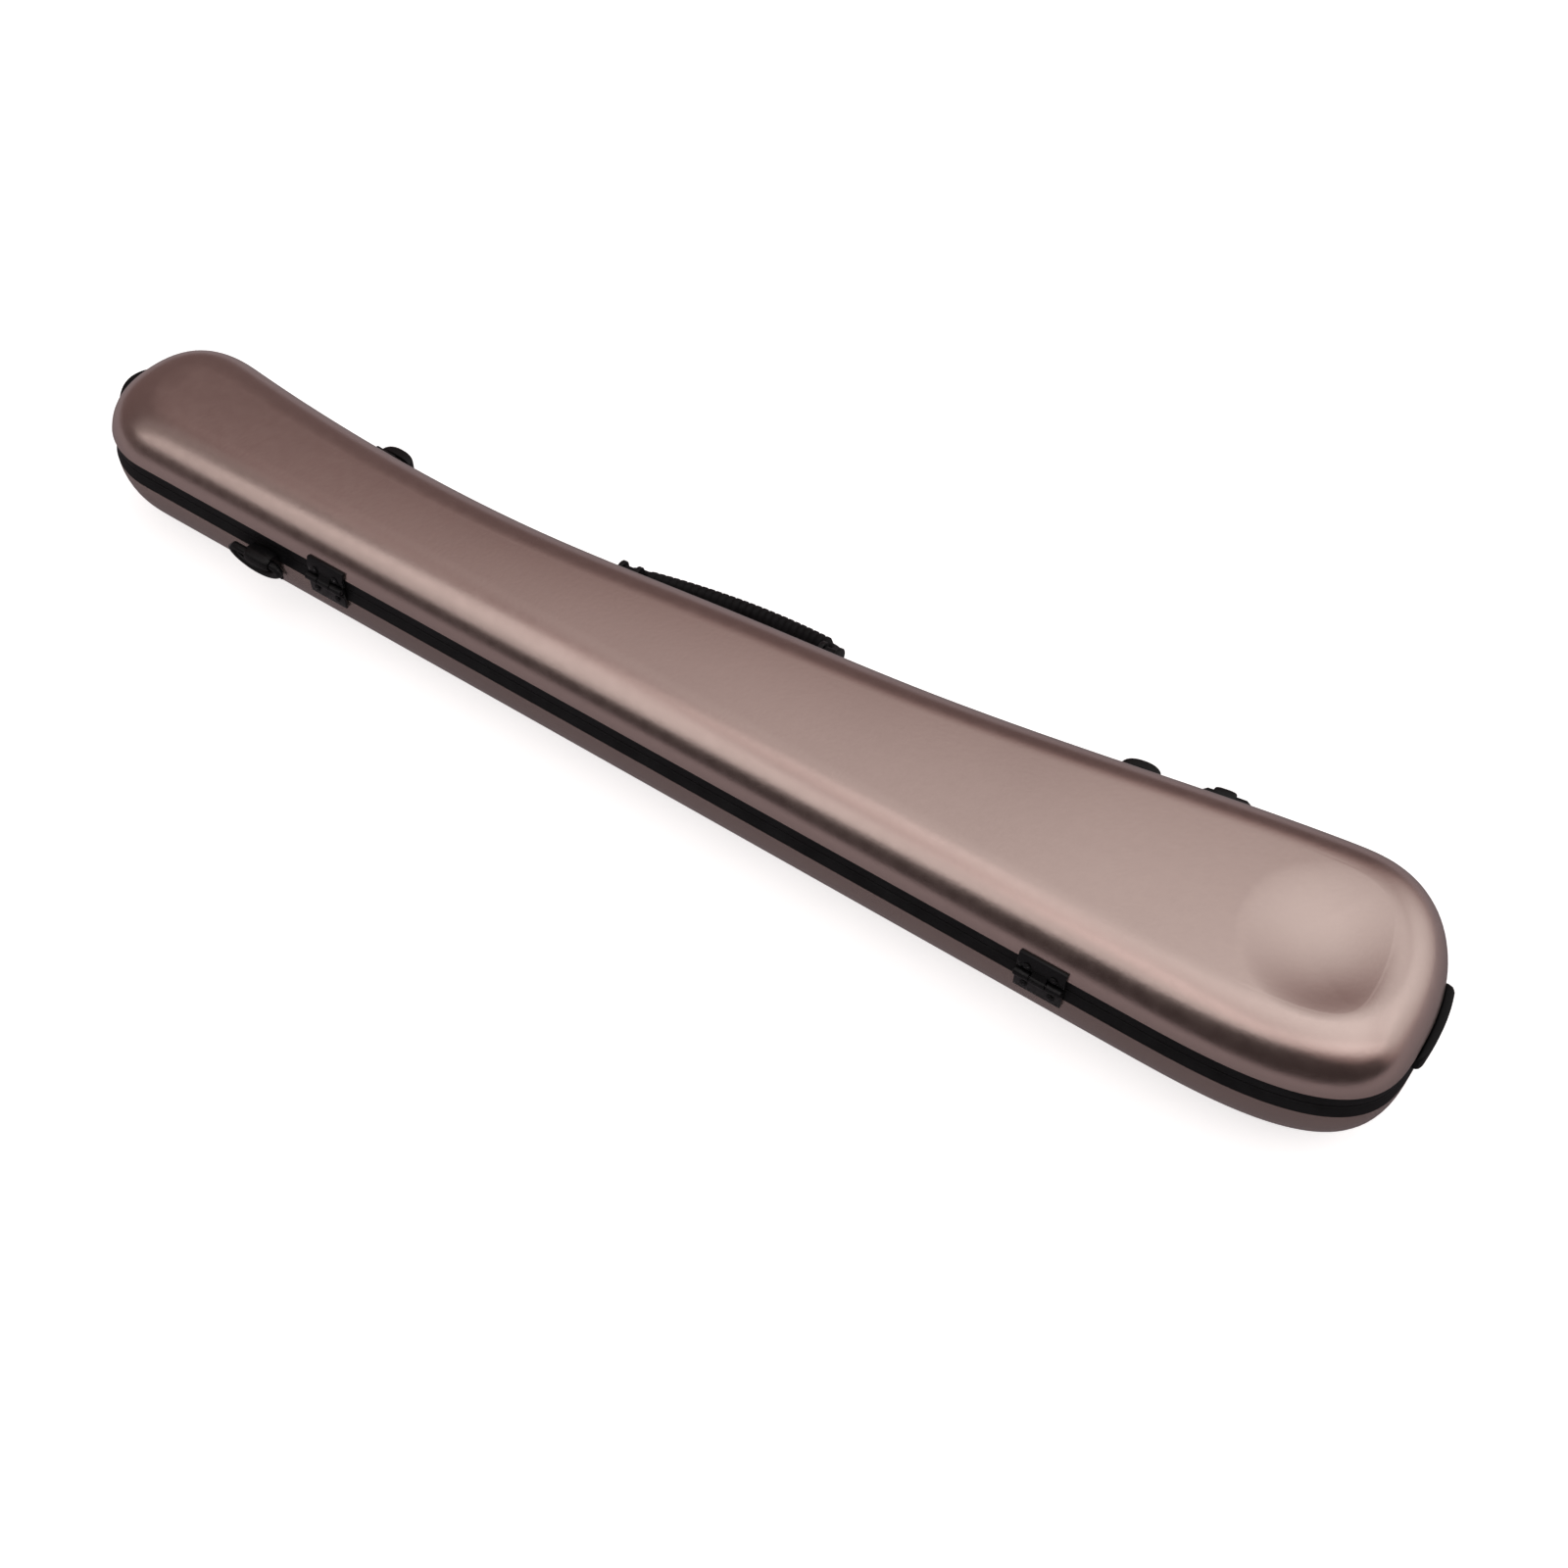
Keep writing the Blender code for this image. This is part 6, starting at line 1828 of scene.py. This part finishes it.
def make_floor(studio):
    """Large pale floor under the case, left out of glossy reflections."""
    deselect()
    bpy.ops.mesh.primitive_plane_add(size=FLOOR_SIZE, location=(0, 0, -GAP / 10))
    floor = bpy.context.object
    floor.name = "floor"
    material, _, _ = new_finish("pale_floor", tuple(studio.floor), 0.9, 0.0, {
        "Specular IOR Level": 0.1,
        "Emission Color": (1.0, 1.0, 1.0, 1.0),
        "Emission Strength": studio.floor_glow,
    })
    floor.data.materials.append(material)
    floor.visible_glossy = False


def room_ramp(tree, way, azimuth, elevation, start, end):
    """Share of brightness that grows from start to end of the cosine to a direction."""
    turn, tilt = radians(azimuth), radians(elevation)
    node = tree.nodes.new("ShaderNodeVectorMath")
    node.operation = "DOT_PRODUCT"
    node.inputs[1].default_value = (sin(turn) * cos(tilt), cos(turn) * cos(tilt), sin(tilt))
    tree.links.new(way, node.inputs[0])
    return between(tree, node.outputs["Value"], 0.0, 1.0, start, end)


def make_room(context, studio):
    """Room whose brightness falls smoothly from its bright side to its dim side and to the ground.

    The camera itself sees it as a pale backdrop that goes on from the floor.
    """
    room = bpy.data.worlds.new("room")
    room.use_nodes = True
    tree = room.node_tree
    way = tree.nodes.new("ShaderNodeTexCoord").outputs["Generated"]
    brightest = room_ramp(tree, way, *ROOM_SKY)
    for direction in (ROOM_SIDE, ROOM_FAR):
        brightest = combined(tree, "MAXIMUM", brightest, room_ramp(tree, way, *direction))
    stops = tree.nodes.new("ShaderNodeValToRGB")
    stops.color_ramp.elements.new(ROOM_DUSK_STOP)
    colours = (studio.room_shade, studio.room_dusk, studio.room_light)
    for stop, colour in zip(stops.color_ramp.elements, colours):
        stop.color = (*colour, 1.0)
    tree.links.new(brightest, stops.inputs["Fac"])
    deep, shallow = (scaled(studio.ground_light, share) for share in GROUND_SHARES)
    ground, _, _ = tones(tree, room_ramp(tree, way, *ROOM_DEPTHS), deep, shallow)
    whole, below, above = tones(tree, room_ramp(tree, way, *ROOM_HORIZON), deep, BACKDROP)
    tree.links.new(ground, below)
    tree.links.new(stops.outputs["Color"], above)
    path = tree.nodes.new("ShaderNodeLightPath")
    seen, reflected, _ = tones(tree, path.outputs["Is Camera Ray"], deep, BACKDROP)
    tree.links.new(whole, reflected)
    tree.links.new(seen, tree.nodes["Background"].inputs["Color"])
    context.scene.world = room


def make_camera(context):
    """Camera at the photograph's place and angle."""
    azimuth, elevation = radians(CAMERA_AZIMUTH_DEG), radians(CAMERA_ELEVATION_DEG)
    roll = radians(CAMERA_ROLL_DEG)
    back = Vector((sin(azimuth) * cos(elevation), -cos(azimuth) * cos(elevation), sin(elevation)))
    right = Vector((cos(azimuth), sin(azimuth), 0))
    above = back.cross(right)
    rolled_right = right * cos(roll) + above * sin(roll)
    rolled_above = above * cos(roll) - right * sin(roll)
    deselect()
    bpy.ops.object.camera_add(location=CAMERA_PLACE)
    camera = bpy.context.object
    camera.name = "photo_camera"
    camera.data.lens = CAMERA_LENS_MM
    camera.data.sensor_width = CAMERA_SENSOR_MM
    turn = Matrix((rolled_right, rolled_above, back)).transposed().to_4x4()
    camera.matrix_world = Matrix.Translation(CAMERA_PLACE) @ turn
    context.scene.camera = camera


class BOWCASE_PT_panel(bpy.types.Panel):
    """Sizes, colours and pieces of the case"""
    bl_idname = "BOWCASE_PT_panel"
    bl_label = "Bow case"
    bl_space_type = "VIEW_3D"
    bl_region_type = "UI"
    bl_category = "Bow case"

    def draw(self, context):
        layout = self.layout
        scene = context.scene
        for group in (scene.bow_case_sizes, scene.bow_case_colours, scene.bow_case_studio):
            column = layout.column(align=True)
            for name in group.__annotations__:
                column.prop(group, name)
        column = layout.column(align=True)
        for piece in PIECES:
            column.operator(piece.bl_idname)


GROUPS = (BowCaseSizes, BowCaseColours, BowCaseStudio)
PIECES = (
    BOWCASE_OT_stage,
    BOWCASE_OT_lid_shell,
    BOWCASE_OT_base_shell,
    BOWCASE_OT_rim_bands,
    BOWCASE_OT_linings,
    BOWCASE_OT_lid_pad,
    BOWCASE_OT_beds,
    BOWCASE_OT_turn_buttons,
    BOWCASE_OT_hinges,
    BOWCASE_OT_latches,
    BOWCASE_OT_handle,
    BOWCASE_OT_strap_rings,
    BOWCASE_OT_end_grips,
)


def register():
    """Add the classes and the scene's settings."""
    for item in GROUPS + PIECES + (BOWCASE_PT_panel,):
        bpy.utils.register_class(item)
    bpy.types.Scene.bow_case_sizes = bpy.props.PointerProperty(type=BowCaseSizes)
    bpy.types.Scene.bow_case_colours = bpy.props.PointerProperty(type=BowCaseColours)
    bpy.types.Scene.bow_case_studio = bpy.props.PointerProperty(type=BowCaseStudio)


def unregister():
    """Remove what register added."""
    del bpy.types.Scene.bow_case_studio
    del bpy.types.Scene.bow_case_colours
    del bpy.types.Scene.bow_case_sizes
    for item in reversed(GROUPS + PIECES + (BOWCASE_PT_panel,)):
        bpy.utils.unregister_class(item)


def main():
    """Dress the whole case."""
    register()
    for piece in PIECES:
        group, name = piece.bl_idname.split(".")
        getattr(getattr(bpy.ops, group), name)()
    deselect()


if __name__ == "__main__":
    main()
